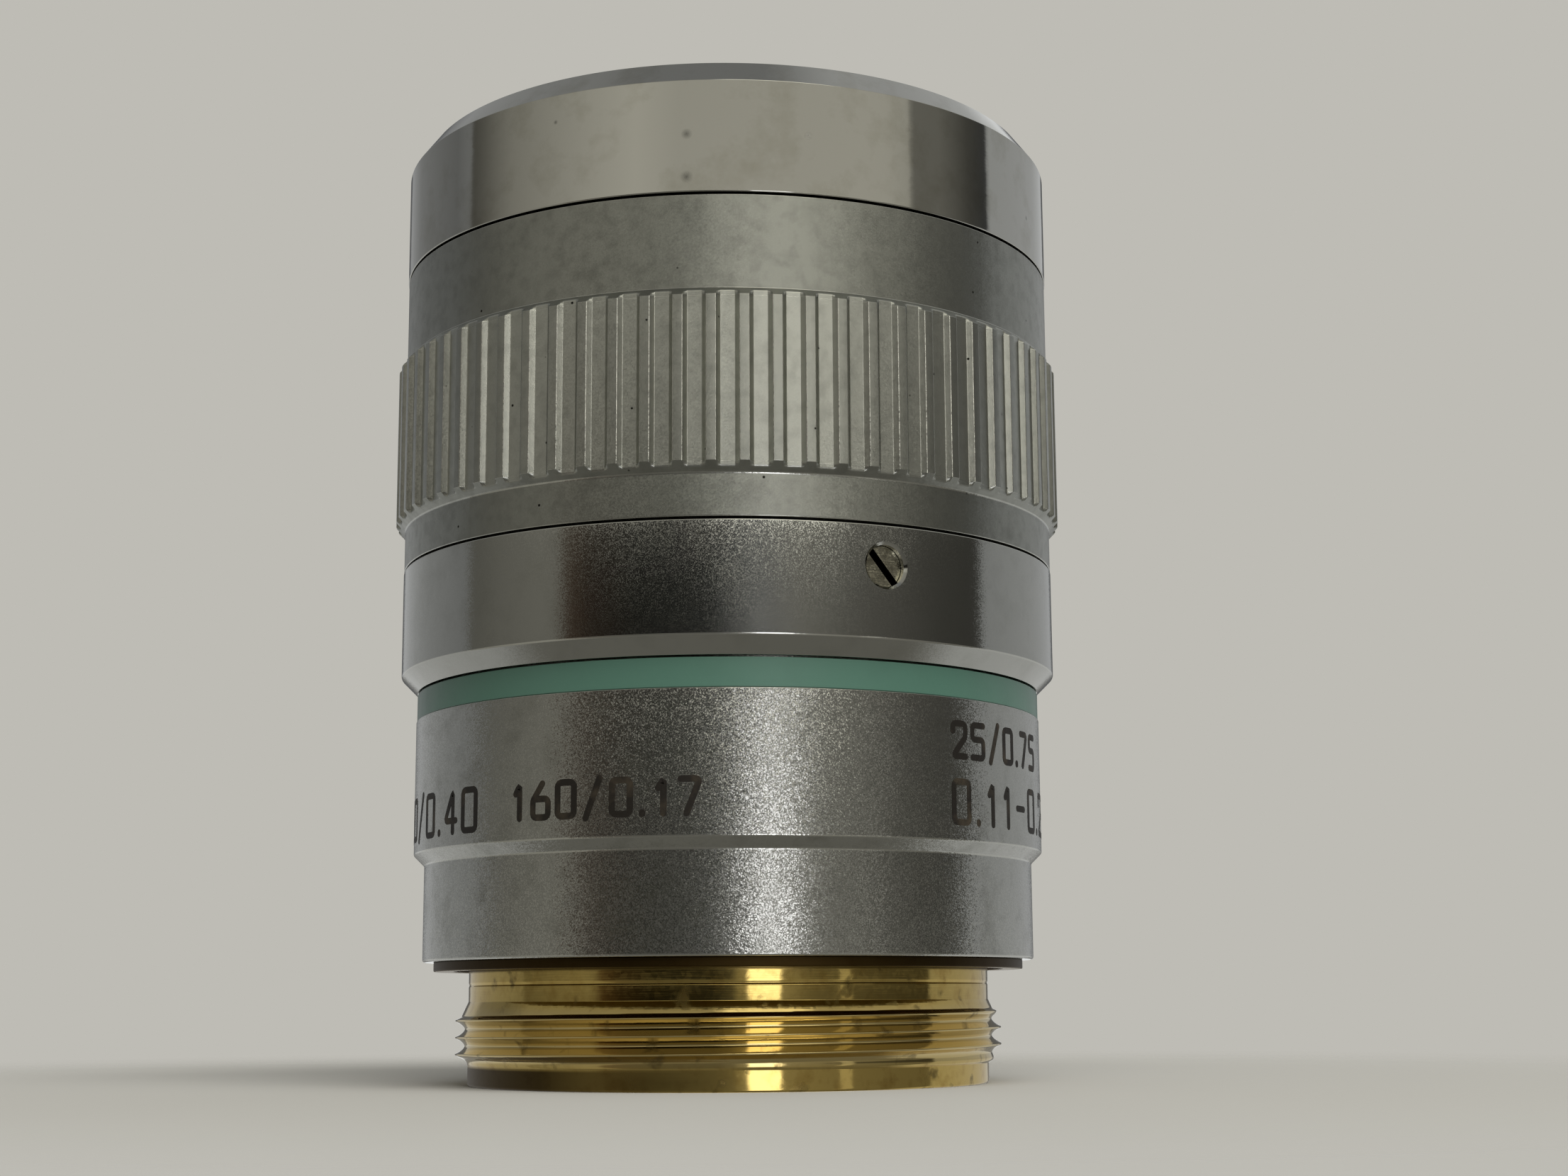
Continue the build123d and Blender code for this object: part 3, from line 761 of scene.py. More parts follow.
# %% [markdown]
# Optical glass is clear and smooth, and its front carries a blooming layer about a quarter of a wave
# thick, which turns the little that it mirrors to purple. The shader's own thin film gives that colour
# from the thickness.

# %% Optical glass
COATING_NM = 110.0
COATING_IOR = 1.38
GLASS_IOR = 1.52
GLASS_ROUGHNESS = 0.01
optical_glass = bpy.data.materials.new("optical_glass")
optical_glass.use_nodes = True
glass = optical_glass.node_tree.nodes["Principled BSDF"].inputs
glass["Base Color"].default_value = linear("#ffffff")
glass["Roughness"].default_value = GLASS_ROUGHNESS
glass["IOR"].default_value = GLASS_IOR
glass["Transmission Weight"].default_value = 1.0
glass["Thin Film Thickness"].default_value = COATING_NM
glass["Thin Film IOR"].default_value = COATING_IOR
print("glass index:", GLASS_IOR, "coating in nm:", COATING_NM)

# %% [markdown]
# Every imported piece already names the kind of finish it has. Pieces that stay visible as they are, such
# as the lenses, their cells and the screws, only need that name exchanged for the real finish.

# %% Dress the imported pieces
SLOT_FINISH = {
    "bare_brass": clean_brass,
    "satin_chrome": satin_chrome,
    "polished_chrome": polished_chrome,
    "green_enamel": green_enamel,
    "black_anodised": black_anodised,
    "optical_glass": optical_glass,
    "bright_steel": scratched_steel,
    "slip_plastic": slip_plastic,
}
for node in nodes.values():
    dress = node.material_slots[0]
    dress.material = SLOT_FINISH[dress.material.name]
print("packed nodes dressed:", len(nodes))


# %% [markdown]
# The rear barrel is one turned sleeve: a narrow part above the brass flange, a step at 45 degrees, a
# wider part that carries the engraving, and a thin spigot that the colour ring and the index ring slide
# over.

# %% Rear barrel
STEP_RISE = 0.485
LOWER_LENGTH = 4.35
SPIGOT_WALL = 1.2
BROKEN_EDGE = 0.06
SOFT_EDGE = 0.12
BRIGHT_EDGE = 0.15
INNER_CORNER = 0.03
lower_radius = UPPER_RADIUS - STEP_RISE
step_z = BARREL_Z + LOWER_LENGTH
spigot_radius = SLEEVE_BORE + SPIGOT_WALL
barrel_corners = [
    (SLEEVE_BORE, BARREL_Z, BROKEN_EDGE),
    (lower_radius, BARREL_Z, SOFT_EDGE),
    (lower_radius, step_z, BRIGHT_EDGE),
    (UPPER_RADIUS, step_z + STEP_RISE, BRIGHT_EDGE),
    (UPPER_RADIUS, COLOUR_Z, INNER_CORNER),
    (spigot_radius, COLOUR_Z, INNER_CORNER),
    (spigot_radius, SPIGOT_TOP, BROKEN_EDGE),
    (SLEEVE_BORE, SPIGOT_TOP, BROKEN_EDGE),
]
turned("barrel_sleeve", barrel_corners, satin_chrome, "body", "satin_chrome", "rear_barrel")

# %% [markdown]
# The colour ring is a narrow enamelled ring on the spigot. It lies a little below the barrel's surface,
# so that hands don't rub the enamel, and its edges are softened by the paint.

# %% Colour ring
colour_bore = spigot_radius + SEAT_GAP
colour_corners = [
    (colour_bore, COLOUR_Z, INNER_CORNER),
    (COLOUR_RADIUS, COLOUR_Z, BROKEN_EDGE),
    (COLOUR_RADIUS, COLOUR_TOP, BROKEN_EDGE),
    (colour_bore, COLOUR_TOP, INNER_CORNER),
]
turned("enamel_ring", colour_corners, green_enamel, "body", "green_enamel", "colour_ring")

# %% [markdown]
# The front cap is a ring with a wide bevel and a dished front, whose flare lets light out at a steep
# angle. Its edges are sharper than those of the blasted pieces, because nothing was blasted over them. A
# thin lip reaches a little over the slip washer below, as on the collar, so the joint shows as one fine
# dark line.

# %% Front cap
CAP_BEVEL_HEIGHT = 1.09
CAP_BEVEL_WIDTH = 0.825
RECESS_RADIUS = 8.0
RECESS_FLARE = 1.4
CRISP_EDGE = 0.05
HAIR_EDGE = 0.02
LIP = 0.13
LIP_SLACK = 0.1
LIP_RADIUS = span("front_washer")[2] + LIP_SLACK
cap_corners = [
    (SLEEVE_BORE, CAP_Z, BROKEN_EDGE),
    (LIP_RADIUS, CAP_Z, HAIR_EDGE),
    (LIP_RADIUS, CAP_Z - LIP, HAIR_EDGE),
    (CAP_RADIUS, CAP_Z - LIP, CRISP_EDGE),
    (CAP_RADIUS, FRONT_Z - CAP_BEVEL_HEIGHT, CRISP_EDGE),
    (CAP_RADIUS - CAP_BEVEL_WIDTH, FRONT_Z, CRISP_EDGE),
    (RECESS_RADIUS + RECESS_FLARE, FRONT_Z, CRISP_EDGE),
    (RECESS_RADIUS, TUBE_TOP, CRISP_EDGE),
    (SLEEVE_BORE, TUBE_TOP, BROKEN_EDGE),
]
turned("polished_cap", cap_corners, polished_chrome, "body", "polished_chrome", "front_cap")


# %% [markdown]
# The brass mount has a real screw thread, so its radius depends on height and on angle together. A
# right-hand thread rises by one pitch per turn: the place inside the pitch is height / pitch minus the
# angle's share of a turn. A screw modifier could sweep a tooth along a helix, but its ends would not run
# out into the neck. Here the whole wall is one grid whose radius is a formula. Where the thread ends
# below the shoulder, a short cone leads from it to the neck, as the turning tool leaves it.

# %% Thread formula
PITCH = 0.75
THREAD_RADIUS = 12.5
NECK_RADIUS = 11.92
ROOT_RISE = 0.15
CREST_FLAT = 0.08
CREST_POWER = 1.7
THREAD_LOW, THREAD_HIGH = 0.9, 3.55
LOW_RUN_OUT, HIGH_RUN_OUT = 0.4, 0.5
CREST_AT_FRONT = 1.57
CONE_LOW, CONE_FULL, CONE_TOP = 2.95, 3.1, 3.75
CONE_SLOPE = 0.45
HAIRLINE_Z, HAIRLINE_WIDTH, HAIRLINE_DEPTH = 4.47, 0.05, 0.03


def threaded_radius(height, angles):
    """Neck radius, plus pointed crests that fall to wide round roots by a power of the distance from
    the crest, both running out at the ends, or plus the lead-in cone where that is more, minus a
    fine ring-shaped hairline. Also the share of thread at each point."""
    place = (height - CREST_AT_FRONT) / PITCH - (angles + pi / 2) / (2 * pi)
    from_crest = np.abs((place + 0.5) % 1.0 - 0.5) * 2
    crest = np.clip((1 - from_crest) / (1 - CREST_FLAT), 0, 1) ** CREST_POWER
    low = np.clip((height - THREAD_LOW) / LOW_RUN_OUT, 0, 1)
    high = np.clip((THREAD_HIGH - height) / HIGH_RUN_OUT, 0, 1)
    depth = THREAD_RADIUS - NECK_RADIUS - ROOT_RISE
    thread = low * high * (ROOT_RISE + depth * crest)
    lead_in = np.clip((height - CONE_LOW) / (CONE_FULL - CONE_LOW), 0, 1)
    cone = CONE_SLOPE * np.clip(CONE_TOP - height, 0, None) * lead_in
    hairline = np.exp(-(((height - HAIRLINE_Z) / HAIRLINE_WIDTH) ** 2)) * HAIRLINE_DEPTH
    return NECK_RADIUS + np.maximum(thread, cone) - hairline, low * high


print("turns of thread:", round((THREAD_HIGH - THREAD_LOW) / PITCH, 2))


# %% [markdown]
# The rest of the mount is an ordinary lathe profile: a pilot, a shoulder with an undercut, and a socket
# for the tube. Extra rows are put into its outer wall for the thread and the hairline, and only these
# rows take the formula.

# %% Brass mount
PORT_RADIUS = 10.2
SOCKET_WALL = 1.1
SEAT_Z = 5.09
UNDERCUT_RADIUS = 12.65
UNDERCUT_DEPTH = 0.2
ROWS_PER_PITCH = 26
HAIRLINE_ROWS = 11
HAIRLINE_REACH = 2.5
CORNERS_BEFORE_WALL = 2
socket_radius = TUBE_RADIUS - SOCKET_WALL
undercut_z = SEAT_Z + UNDERCUT_DEPTH
mount_profile = rounded(
    [
        (PORT_RADIUS, MOUNT_Z, SOFT_EDGE),
        (NECK_RADIUS, MOUNT_Z, SOFT_EDGE),
        (NECK_RADIUS, undercut_z, CRISP_EDGE),
        (UNDERCUT_RADIUS, undercut_z, CRISP_EDGE),
        (UNDERCUT_RADIUS, SEAT_Z, INNER_CORNER),
        (FLANGE_RADIUS, SEAT_Z, BROKEN_EDGE),
        (FLANGE_RADIUS, BARREL_Z, CRISP_EDGE),
        (TUBE_RADIUS, BARREL_Z, INNER_CORNER),
        (TUBE_RADIUS, SOCKET_TOP, SOFT_EDGE),
        (socket_radius, SOCKET_TOP, SOFT_EDGE),
        (socket_radius, BARREL_Z, CRISP_EDGE),
        (PORT_RADIUS, BARREL_Z, CRISP_EDGE),
    ]
)
hairline_reach = HAIRLINE_REACH * HAIRLINE_WIDTH
thread_rows = np.arange(THREAD_LOW, CONE_TOP, PITCH / ROWS_PER_PITCH)
hairline_rows = np.linspace(HAIRLINE_Z - hairline_reach, HAIRLINE_Z + hairline_reach, HAIRLINE_ROWS)
wall_rows = np.concatenate([[THREAD_LOW / 2], thread_rows, [CONE_TOP], hairline_rows, [SEAT_Z]])
wall = np.stack([np.full_like(wall_rows, NECK_RADIUS), wall_rows], -1)
wall_start = CORNERS_BEFORE_WALL * ARC_POINTS
mount_profile = np.insert(mount_profile, wall_start, wall, axis=0)
mount_radius = np.repeat(mount_profile[:, :1], COLUMNS, axis=1)
on_wall = slice(wall_start, wall_start + len(wall))
thread_share = np.zeros_like(mount_radius)
mount_radius[on_wall], thread_share[on_wall] = threaded_radius(wall_rows[:, None], ROUND[None])
mount_points = carry_round(mount_radius, mount_profile[:, 1:], ROUND)
mount = grid_piece("threaded_mount", mount_points, tarnished_and_shaded_brass, "body", "bare_brass", "thread_mount")
tag(mount, "root", thread_share)

# %% [markdown]
# The correction collar carries the knurl: 70 straight grooves milled along the axis between two turned
# bevels. Milling and turning both only take material away, so the surface is the smaller of two radii:
# the turned profile, which depends on height, and the milled wave, which depends on the angle. Cutting 70
# grooves with a boolean modifier would give the same shape with ragged faces.

# %% One ridge of the knurl
RIDGES = 70
GROOVE_DEPTH = 0.215
GROOVE_FLOOR = 0.63
FLANK_RUN = 0.185
RIDGE_BREAK = 0.022
BREAK_SAG = RIDGE_BREAK / 3
ridge_pitch = 2 * pi * CREST_RADIUS / RIDGES
half_floor = GROOVE_FLOOR / 2
flank_top = half_floor + FLANK_RUN
half_ridge = np.array(
    [
        (0.0, GROOVE_DEPTH),
        (half_floor - RIDGE_BREAK, GROOVE_DEPTH),
        (half_floor, GROOVE_DEPTH - BREAK_SAG),
        (half_floor + RIDGE_BREAK, GROOVE_DEPTH - RIDGE_BREAK),
        (flank_top - RIDGE_BREAK, RIDGE_BREAK),
        (flank_top, BREAK_SAG),
        (flank_top + RIDGE_BREAK, 0.0),
        (ridge_pitch / 2, 0.0),
    ]
)
other_half = half_ridge[-2:0:-1] * (-1, 1) + (ridge_pitch, 0)
one_ridge = np.concatenate([half_ridge, other_half])
ridge_starts = np.arange(RIDGES)[:, None] * 2 * pi / RIDGES - pi / 2
collar_angles = (ridge_starts + one_ridge[:, 0] / CREST_RADIUS).ravel()
milled_radius = np.tile(CREST_RADIUS - one_ridge[:, 1], RIDGES)
print("ridge pitch in mm:", round(ridge_pitch, 3), "columns:", len(collar_angles))

# %% [markdown]
# The turned profile of the collar has a rim, a bevel, the knurl's crest, a second bevel and a band. Where
# the grooves run out through the bevels the outline bends quickly, so the profile gets extra rows there.

# %% Collar profile with extra rows on bevels and crests
RIM_LENGTH = 1.72
RIM_DROP = 0.43
KNURL_LENGTH = 7.12
BAND_DROP = 0.375
BEVEL_ROWS = 8
BEVEL_FROM, BEVEL_TO = 0.14, 0.93
CREST_ROWS = 12
KNURL_CORNERS = np.array([5, 6, 7])
collar_bore = CAM_RADIUS + SEAT_GAP
rim_radius = CREST_RADIUS - RIM_DROP
band_radius = CREST_RADIUS - BAND_DROP
rim_top = COLLAR_Z + RIM_LENGTH
crest_low = rim_top + RIM_DROP
crest_high = crest_low + KNURL_LENGTH
band_low = crest_high + BAND_DROP
collar_corners = [
    (collar_bore, COLLAR_Z, BROKEN_EDGE),
    (LIP_RADIUS, COLLAR_Z, HAIR_EDGE),
    (LIP_RADIUS, COLLAR_Z - LIP, HAIR_EDGE),
    (rim_radius, COLLAR_Z - LIP, CRISP_EDGE),
    (rim_radius, rim_top, BRIGHT_EDGE),
    (CREST_RADIUS, crest_low, HAIR_EDGE),
    (CREST_RADIUS, crest_high, HAIR_EDGE),
    (band_radius, band_low, CRISP_EDGE),
    (band_radius, COLLAR_TOP, CRISP_EDGE),
    (collar_bore, COLLAR_TOP, BROKEN_EDGE),
]
along_bevel = np.linspace(BEVEL_FROM, BEVEL_TO, BEVEL_ROWS)[:, None]
lower_bevel = (rim_radius, rim_top) + along_bevel * (RIM_DROP, RIM_DROP)
upper_bevel = (CREST_RADIUS, crest_high) + (1 - along_bevel[::-1]) * (-BAND_DROP, BAND_DROP)
crest_heights = np.linspace(crest_low + CRISP_EDGE, crest_high - CRISP_EDGE, CREST_ROWS)
crest_rows = np.stack([np.full(CREST_ROWS, CREST_RADIUS), crest_heights], -1)
split_rows = np.split(rounded(collar_corners), KNURL_CORNERS * ARC_POINTS)
before, crest_start, crest_end, after = split_rows
collar_parts = [before, lower_bevel, crest_start, crest_rows, crest_end, upper_bevel, after]
collar_profile = np.concatenate(collar_parts)
print("collar profile points:", len(collar_profile))

# %% [markdown]
# Two attributes tell the finish where the milling cutter went and which edges hands have rubbed: the
# floors of the grooves count fully, the crests in part, and the upper break of each ridge is burnished.

# %% Knurled collar
CREST_SHINE = 0.4
turned_radius = collar_profile[:, :1]
outside = turned_radius > collar_bore + GROOVE_DEPTH
collar_radius = np.where(outside, np.minimum(turned_radius, milled_radius), turned_radius)
collar_points = carry_round(collar_radius, collar_profile[:, 1:], collar_angles)
collar_dress = (blasted_chrome, "collar", "satin_chrome", "correction_collar")
collar = grid_piece("knurled_collar", collar_points, *collar_dress)
groove_share = (CREST_RADIUS - milled_radius) / GROOVE_DEPTH
on_knurl = outside & (collar_radius > milled_radius - TINY)
tag(collar, "milled", np.maximum(groove_share, CREST_SHINE) * on_knurl)
flat_bevel, flat_crest = np.zeros(BEVEL_ROWS), np.zeros(CREST_ROWS)
rear_arcs = np.tile(ARC_WEAR, KNURL_CORNERS[0])
front_arcs = np.tile(ARC_WEAR, len(collar_corners) - KNURL_CORNERS[-1])
worn_parts = [rear_arcs, flat_bevel, ARC_WEAR, flat_crest, ARC_WEAR, flat_bevel, front_arcs]
row_wear = np.concatenate(worn_parts)
ridge_wear = np.tile(np.isclose(one_ridge[:, 1], BREAK_SAG), RIDGES)
tag(collar, "edge", np.maximum(row_wear[:, None], ridge_wear * on_knurl))
print("milled share of the collar's points:", round(float(on_knurl.mean()), 3))

# %% [markdown]
# The index ring is turned too, but three grub screws pass through its wall. The grid has one square
# window per hole, on the outer wall and on the bore. Near a window the grid is bent so that its square
# edge becomes a circle: each point moves along its ray from the hole's centre until its square distance
# is its round one.

# %% Index ring profile
SCREW_BEARING = 25.8
SCREW_ANGLE = radians(SCREW_BEARING) - pi / 2
SCREW_COUNT = 3
SCREW_Z = (SCREW_LOW + SCREW_HIGH) / 2
HOLE_RADIUS = (SCREW_HIGH - SCREW_LOW) / 2 + SEAT_GAP
COUNTERSINK = 0.12
INDEX_CHAMFER = 0.75
WINDOW_CELLS = 6
CORNERS_BEFORE_OUTER, CORNERS_BETWEEN = 3, 2
cell_angle = 2 * pi / COLUMNS
cell_size = cell_angle * INDEX_RADIUS
index_corners = [
    (colour_bore, INDEX_Z, CRISP_EDGE),
    (INDEX_RADIUS - INDEX_CHAMFER, INDEX_Z, CRISP_EDGE),
    (INDEX_RADIUS, INDEX_Z + INDEX_CHAMFER, BRIGHT_EDGE),
    (INDEX_RADIUS, INDEX_TOP, BROKEN_EDGE),
    (SLEEVE_BORE, INDEX_TOP, BROKEN_EDGE),
    (SLEEVE_BORE, SPIGOT_TOP, BROKEN_EDGE),
    (colour_bore, SPIGOT_TOP, BROKEN_EDGE),
]
window_steps = np.arange(-WINDOW_CELLS, WINDOW_CELLS + 1)
window_rows = SCREW_Z + window_steps * cell_size
outer_wall = np.stack([np.full_like(window_rows, INDEX_RADIUS), window_rows], -1)
bore_wall = np.stack([np.full_like(window_rows, SLEEVE_BORE), window_rows[::-1]], -1)
outer_start = CORNERS_BEFORE_OUTER * ARC_POINTS
bore_start = outer_start + len(window_rows) + CORNERS_BETWEEN * ARC_POINTS
index_profile = np.insert(rounded(index_corners), outer_start, outer_wall, axis=0)
index_profile = np.insert(index_profile, bore_start, bore_wall, axis=0)
index_wear = np.tile(ARC_WEAR, len(index_corners))
index_wear = np.insert(index_wear, outer_start, np.zeros(len(window_rows)))
index_wear = np.insert(index_wear, bore_start, np.zeros(len(window_rows)))
print("screw holes at height", round(SCREW_Z, 3), "with radius", round(HOLE_RADIUS, 3))

# %% Bend the grid round the holes
BEND_REACH = 2.2
index_radii = np.repeat(index_profile[:, :1], COLUMNS, axis=1)
index_heights = np.repeat(index_profile[:, 1:], COLUMNS, axis=1)
index_turns = np.repeat(SCREW_ANGLE + ROUND[None], len(index_profile), axis=0)
third = COLUMNS // SCREW_COUNT
columns_off = (np.arange(COLUMNS) + third // 2) % third - third // 2
window_half = WINDOW_CELLS * cell_size
across = np.broadcast_to(columns_off * cell_size, (len(window_rows), COLUMNS))


def bend_to_circle(start, wall_radius, hole_radius):
    """Square rings round each hole become round ones. A point keeps its direction from the hole's
    centre and takes its square distance as its round one, scaled to the hole; the bend fades out at
    the reach of the window."""
    rows = slice(start, start + len(window_rows))
    up = index_heights[rows] - SCREW_Z
    square = np.maximum(np.abs(across), np.abs(up))
    share = np.clip((BEND_REACH - square / window_half) / (BEND_REACH - 1), 0, 1)
    size = square * (1 + share * (hole_radius / window_half - 1)) / np.maximum(np.hypot(across, up), TINY)
    size = 1 + share * (size - 1)
    bent_turn = np.arcsin(np.clip(across * size / wall_radius, -1, 1))
    index_turns[rows] += share * (bent_turn - across / INDEX_RADIUS)
    index_heights[rows] += share * (up * size - up)


bend_to_circle(outer_start, INDEX_RADIUS, HOLE_RADIUS + COUNTERSINK)
bend_to_circle(bore_start, SLEEVE_BORE, HOLE_RADIUS)
index_points = carry_round(index_radii, index_heights, index_turns)
index_normals = grid_normals(index_points).reshape(-1, 3)
print("index ring grid:", index_points.shape[:2])

# %% [markdown]
# The faces inside the windows are left out, and each hole gets its own wall: a small cone for the
# countersink and a tube from there to the bore. Both are strips between loops of points that go round the
# hole.

# %% Index ring with its screw holes
index_faces = grid_faces(*index_points.shape[:2]).reshape(*index_points.shape[:2], 4)
keep = np.ones(index_points.shape[:2], bool)
in_window = (columns_off >= -WINDOW_CELLS) & (columns_off < WINDOW_CELLS)
for start in (outer_start, bore_start):
    keep[start : start + 2 * WINDOW_CELLS, in_window] = False
side = window_steps[:-1]
low, high = np.full_like(side, -WINDOW_CELLS), np.full_like(side, WINDOW_CELLS)
loop_across = np.concatenate([side, high, -side, low])
loop_up = np.concatenate([low, side, high, -side])
up_axis = np.array([0.0, 0.0, 1.0])
faces = [index_faces[keep]]
corners = [index_normals[index_faces[keep]]]
points = [index_points.reshape(-1, 3)]
for number in range(SCREW_COUNT):
    column = (number * third + loop_across) % COLUMNS
    rim = (outer_start + WINDOW_CELLS + loop_up) * COLUMNS + column
    inner = (bore_start + WINDOW_CELLS - loop_up) * COLUMNS + column
    hole_turn = SCREW_ANGLE + number * 2 * pi / SCREW_COUNT
    outward = np.array([cos(hole_turn), sin(hole_turn), 0])
    sideways = np.array([-sin(hole_turn), cos(hole_turn), 0])
    offset = points[0][rim] - SCREW_Z * up_axis
    ring = np.stack([offset @ sideways, offset @ up_axis], -1)
    ring /= np.linalg.norm(ring, axis=1, keepdims=True)
    radial = ring[:, :1] * sideways + ring[:, 1:] * up_axis
    depth = np.sqrt(INDEX_RADIUS**2 - (HOLE_RADIUS * ring[:, :1]) ** 2) - COUNTERSINK
    neck = depth * outward + HOLE_RADIUS * radial + SCREW_Z * up_axis
    waist = sum(len(part) for part in points) + np.arange(len(rim))
    points.append(neck)
    cone = (outward - radial) / np.sqrt(2)
    for first, second, normal in ((rim, waist, cone), (waist, inner, -radial)):
        faces.append(np.stack([first, np.roll(first, -1), np.roll(second, -1), second], -1))
        following = np.roll(normal, -1, 0)
        corners.append(np.stack([normal, following, following, normal], 1))
used, compact = np.unique(np.concatenate(faces), return_inverse=True)
index_sleeve = make_piece(
    "index_sleeve",
    np.concatenate(points)[used],
    compact.reshape(-1, 4),
    np.concatenate(corners),
    fine_satin_chrome,
    "body",
)
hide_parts("index_ring")
hole_wear = np.ones(sum(len(part) for part in points[1:]))
tag(index_sleeve, "edge", np.concatenate([np.repeat(index_wear, COLUMNS), hole_wear])[used])


# %% [markdown]
# The engraving is cut by a small round cutter that follows single lines, and is then filled with paint. A
# text object would need a font with filled outlines, which looks printed. So each figure is a few short
# lines, as on an engraving machine's template, and every line becomes a thin ribbon of paint, bent round
# the barrel. The numbers are plain optical data of no maker's: tube length, cover glass and aperture.

# %% Figures of the engraving template
FIGURES = {
    "0": [[(0, 0), (1, 0), (1, 1), (0, 1), (0, 0)]],
    "1": [[(0.25, 0.74), (0.6, 1), (0.6, 0)]],
    "2": [[(0, 0.76), (0, 1), (1, 1), (1, 0.6), (0, 0), (1, 0)]],
    "3": [[(0, 1), (1, 1), (1, 0), (0, 0)], [(0.3, 0.52), (1, 0.52)]],
    "4": [[(0.72, 0), (0.72, 1), (0, 0.28), (1, 0.28)]],
    "5": [[(1, 1), (0, 1), (0, 0.56), (1, 0.56), (1, 0), (0, 0)]],
    "6": [[(0.62, 1), (0, 0.5), (0, 0), (1, 0), (1, 0.55), (0.05, 0.55)]],
    "7": [[(0, 1), (1, 1), (0.3, 0)]],
    "-": [[(0.1, 0.5), (0.9, 0.5)]],
    "/": [[(0.1, -0.08), (0.9, 1.08)]],
    ".": [[(0.5, 0), (0.5, 0.03)]],
}
NARROW = {"1": 0.8, ".": 0.12}
FIGURE_WIDTH = 0.56
FIGURE_GAP = 0.34
CORNER_SHARE = 0.13


def text_lines(text, start, base, size):
    """Cutter lines of a text: each figure scaled to its width and height and set after the one before."""
    lines = []
    for letter in text:
        width = FIGURE_WIDTH * size * NARROW.get(letter, 1.0)
        lines += [np.array(line) * (width, size) + (start, base) for line in FIGURES[letter]]
        start += width + FIGURE_GAP * size
    return lines, start - FIGURE_GAP * size


print("figures on the template:", "".join(FIGURES))


# %% [markdown]
# One cutter line is rounded at its corners by the radius of the cutter's path and divided into even
# steps. At an open end the ribbon narrows as a half circle does: half the width times the square root of
# 1 minus the square of the share of the way past the end.

# %% Ribbon of one cutter line
STROKE_STEP = 0.09
CAP_STEPS = 4
END_WIDTH = 0.1
SPARE_STEPS = 3
RIBBON_POINTS = 4
PAINT_TOP, PAINT_FOOT = 0.008, -0.04


def ribbon(line, width, corner):
    """Grid of four points across and many along the line, as (arc, height, rise): left and right edge
    on top, then right and left edge at the foot. Returns the grid and whether it is closed."""
    closed = bool(np.all(line[0] == line[-1]))
    knots = line[:-1] if closed else line
    back = knots - np.roll(knots, 1, 0)
    ahead = np.roll(knots, -1, 0) - knots
    reach = np.linalg.norm(back, axis=1) * np.linalg.norm(ahead, axis=1)
    rounding = corner * np.clip(1 + (back * ahead).sum(1) / reach, 0, 1)
    if not closed:
        rounding[[0, -1]] = 0
    middle = rounded(np.column_stack([knots, rounding]))
    middle = np.vstack([middle, middle[:1]]) if closed else middle[ARC_STEPS:-ARC_STEPS]
    way = np.concatenate([[0], np.cumsum(np.linalg.norm(np.diff(middle, axis=0), axis=1))])
    steps = np.linspace(0, way[-1], int(way[-1] / STROKE_STEP) + SPARE_STEPS)
    middle = np.stack([np.interp(steps, way, middle[:, k]) for k in (0, 1)], -1)
    half = np.full(len(middle), width / 2)
    if closed:
        middle, half = middle[:-1], half[:-1]
        along = np.roll(middle, -1, 0) - np.roll(middle, 1, 0)
    else:
        past = np.sin(np.linspace(0, pi / 2, CAP_STEPS + 1))[1:]
        narrow = width / 2 * np.maximum(np.sqrt(np.clip(1 - past**2, 0, 1)), END_WIDTH)
        first, last = middle[0] - middle[1], middle[-1] - middle[-2]
        before = middle[0] + first / np.linalg.norm(first) * width / 2 * past[::-1, None]
        beyond = middle[-1] + last / np.linalg.norm(last) * width / 2 * past[:, None]
        middle = np.concatenate([before, middle, beyond])
        half = np.concatenate([narrow[::-1], half, narrow])
        along = np.gradient(middle, axis=0)
    along /= np.linalg.norm(along, axis=1, keepdims=True)
    left = np.stack([-along[:, 1], along[:, 0]], -1) * half[:, None]
    edges = np.stack([middle + left, middle - left, middle - left, middle + left], 1)
    rise = np.broadcast_to([PAINT_TOP, PAINT_TOP, PAINT_FOOT, PAINT_FOOT], edges.shape[:2])
    return np.concatenate([edges, rise[..., None]], -1), closed


print("the paint stands proud by", PAINT_TOP, "mm")


# %% [markdown]
# All ribbons of one text are bent round the barrel together and make one piece. The paint stands a few
# thousandths of a millimetre above the metal and reaches below it, so no face of it lies in the metal's
# own surface.

# %% Engraving on a cylinder
def engrave(name, lines, radius, width, corner, body):
    """Bends the ribbons of all cutter lines round a cylinder: arc / radius is the bearing from front."""
    all_points, all_faces, count = [], [], 0
    for line in lines:
        grid, closed = ribbon(line, width, corner)
        bent = carry_round(radius + grid[..., 2], grid[..., 1], grid[..., 0] / radius - pi / 2)
        faces = grid_faces(*grid.shape[:2])
        if not closed:
            end = np.arange(RIBBON_POINTS)
            ends = np.array([end[::-1], end + RIBBON_POINTS * (len(grid) - 1)])
            faces = np.concatenate([faces[:-RIBBON_POINTS], ends])
        all_points.append(bent.reshape(-1, 3))
        all_faces.append(faces + count)
        count += RIBBON_POINTS * len(grid)
    points, faces = np.concatenate(all_points), np.concatenate(all_faces)
    corners = points[faces]
    normal = np.cross(corners[:, 2] - corners[:, 0], corners[:, 3] - corners[:, 1])
    normal /= np.linalg.norm(normal, axis=1, keepdims=True)
    flat_normals = np.repeat(normal, faces.shape[1], axis=0)
    return make_piece(name, points, faces, flat_normals, engraving_paint, body)


# %% [markdown]
# Each text on the barrel has a bearing where it starts, in degrees from the front, a height and a size of
# figure.

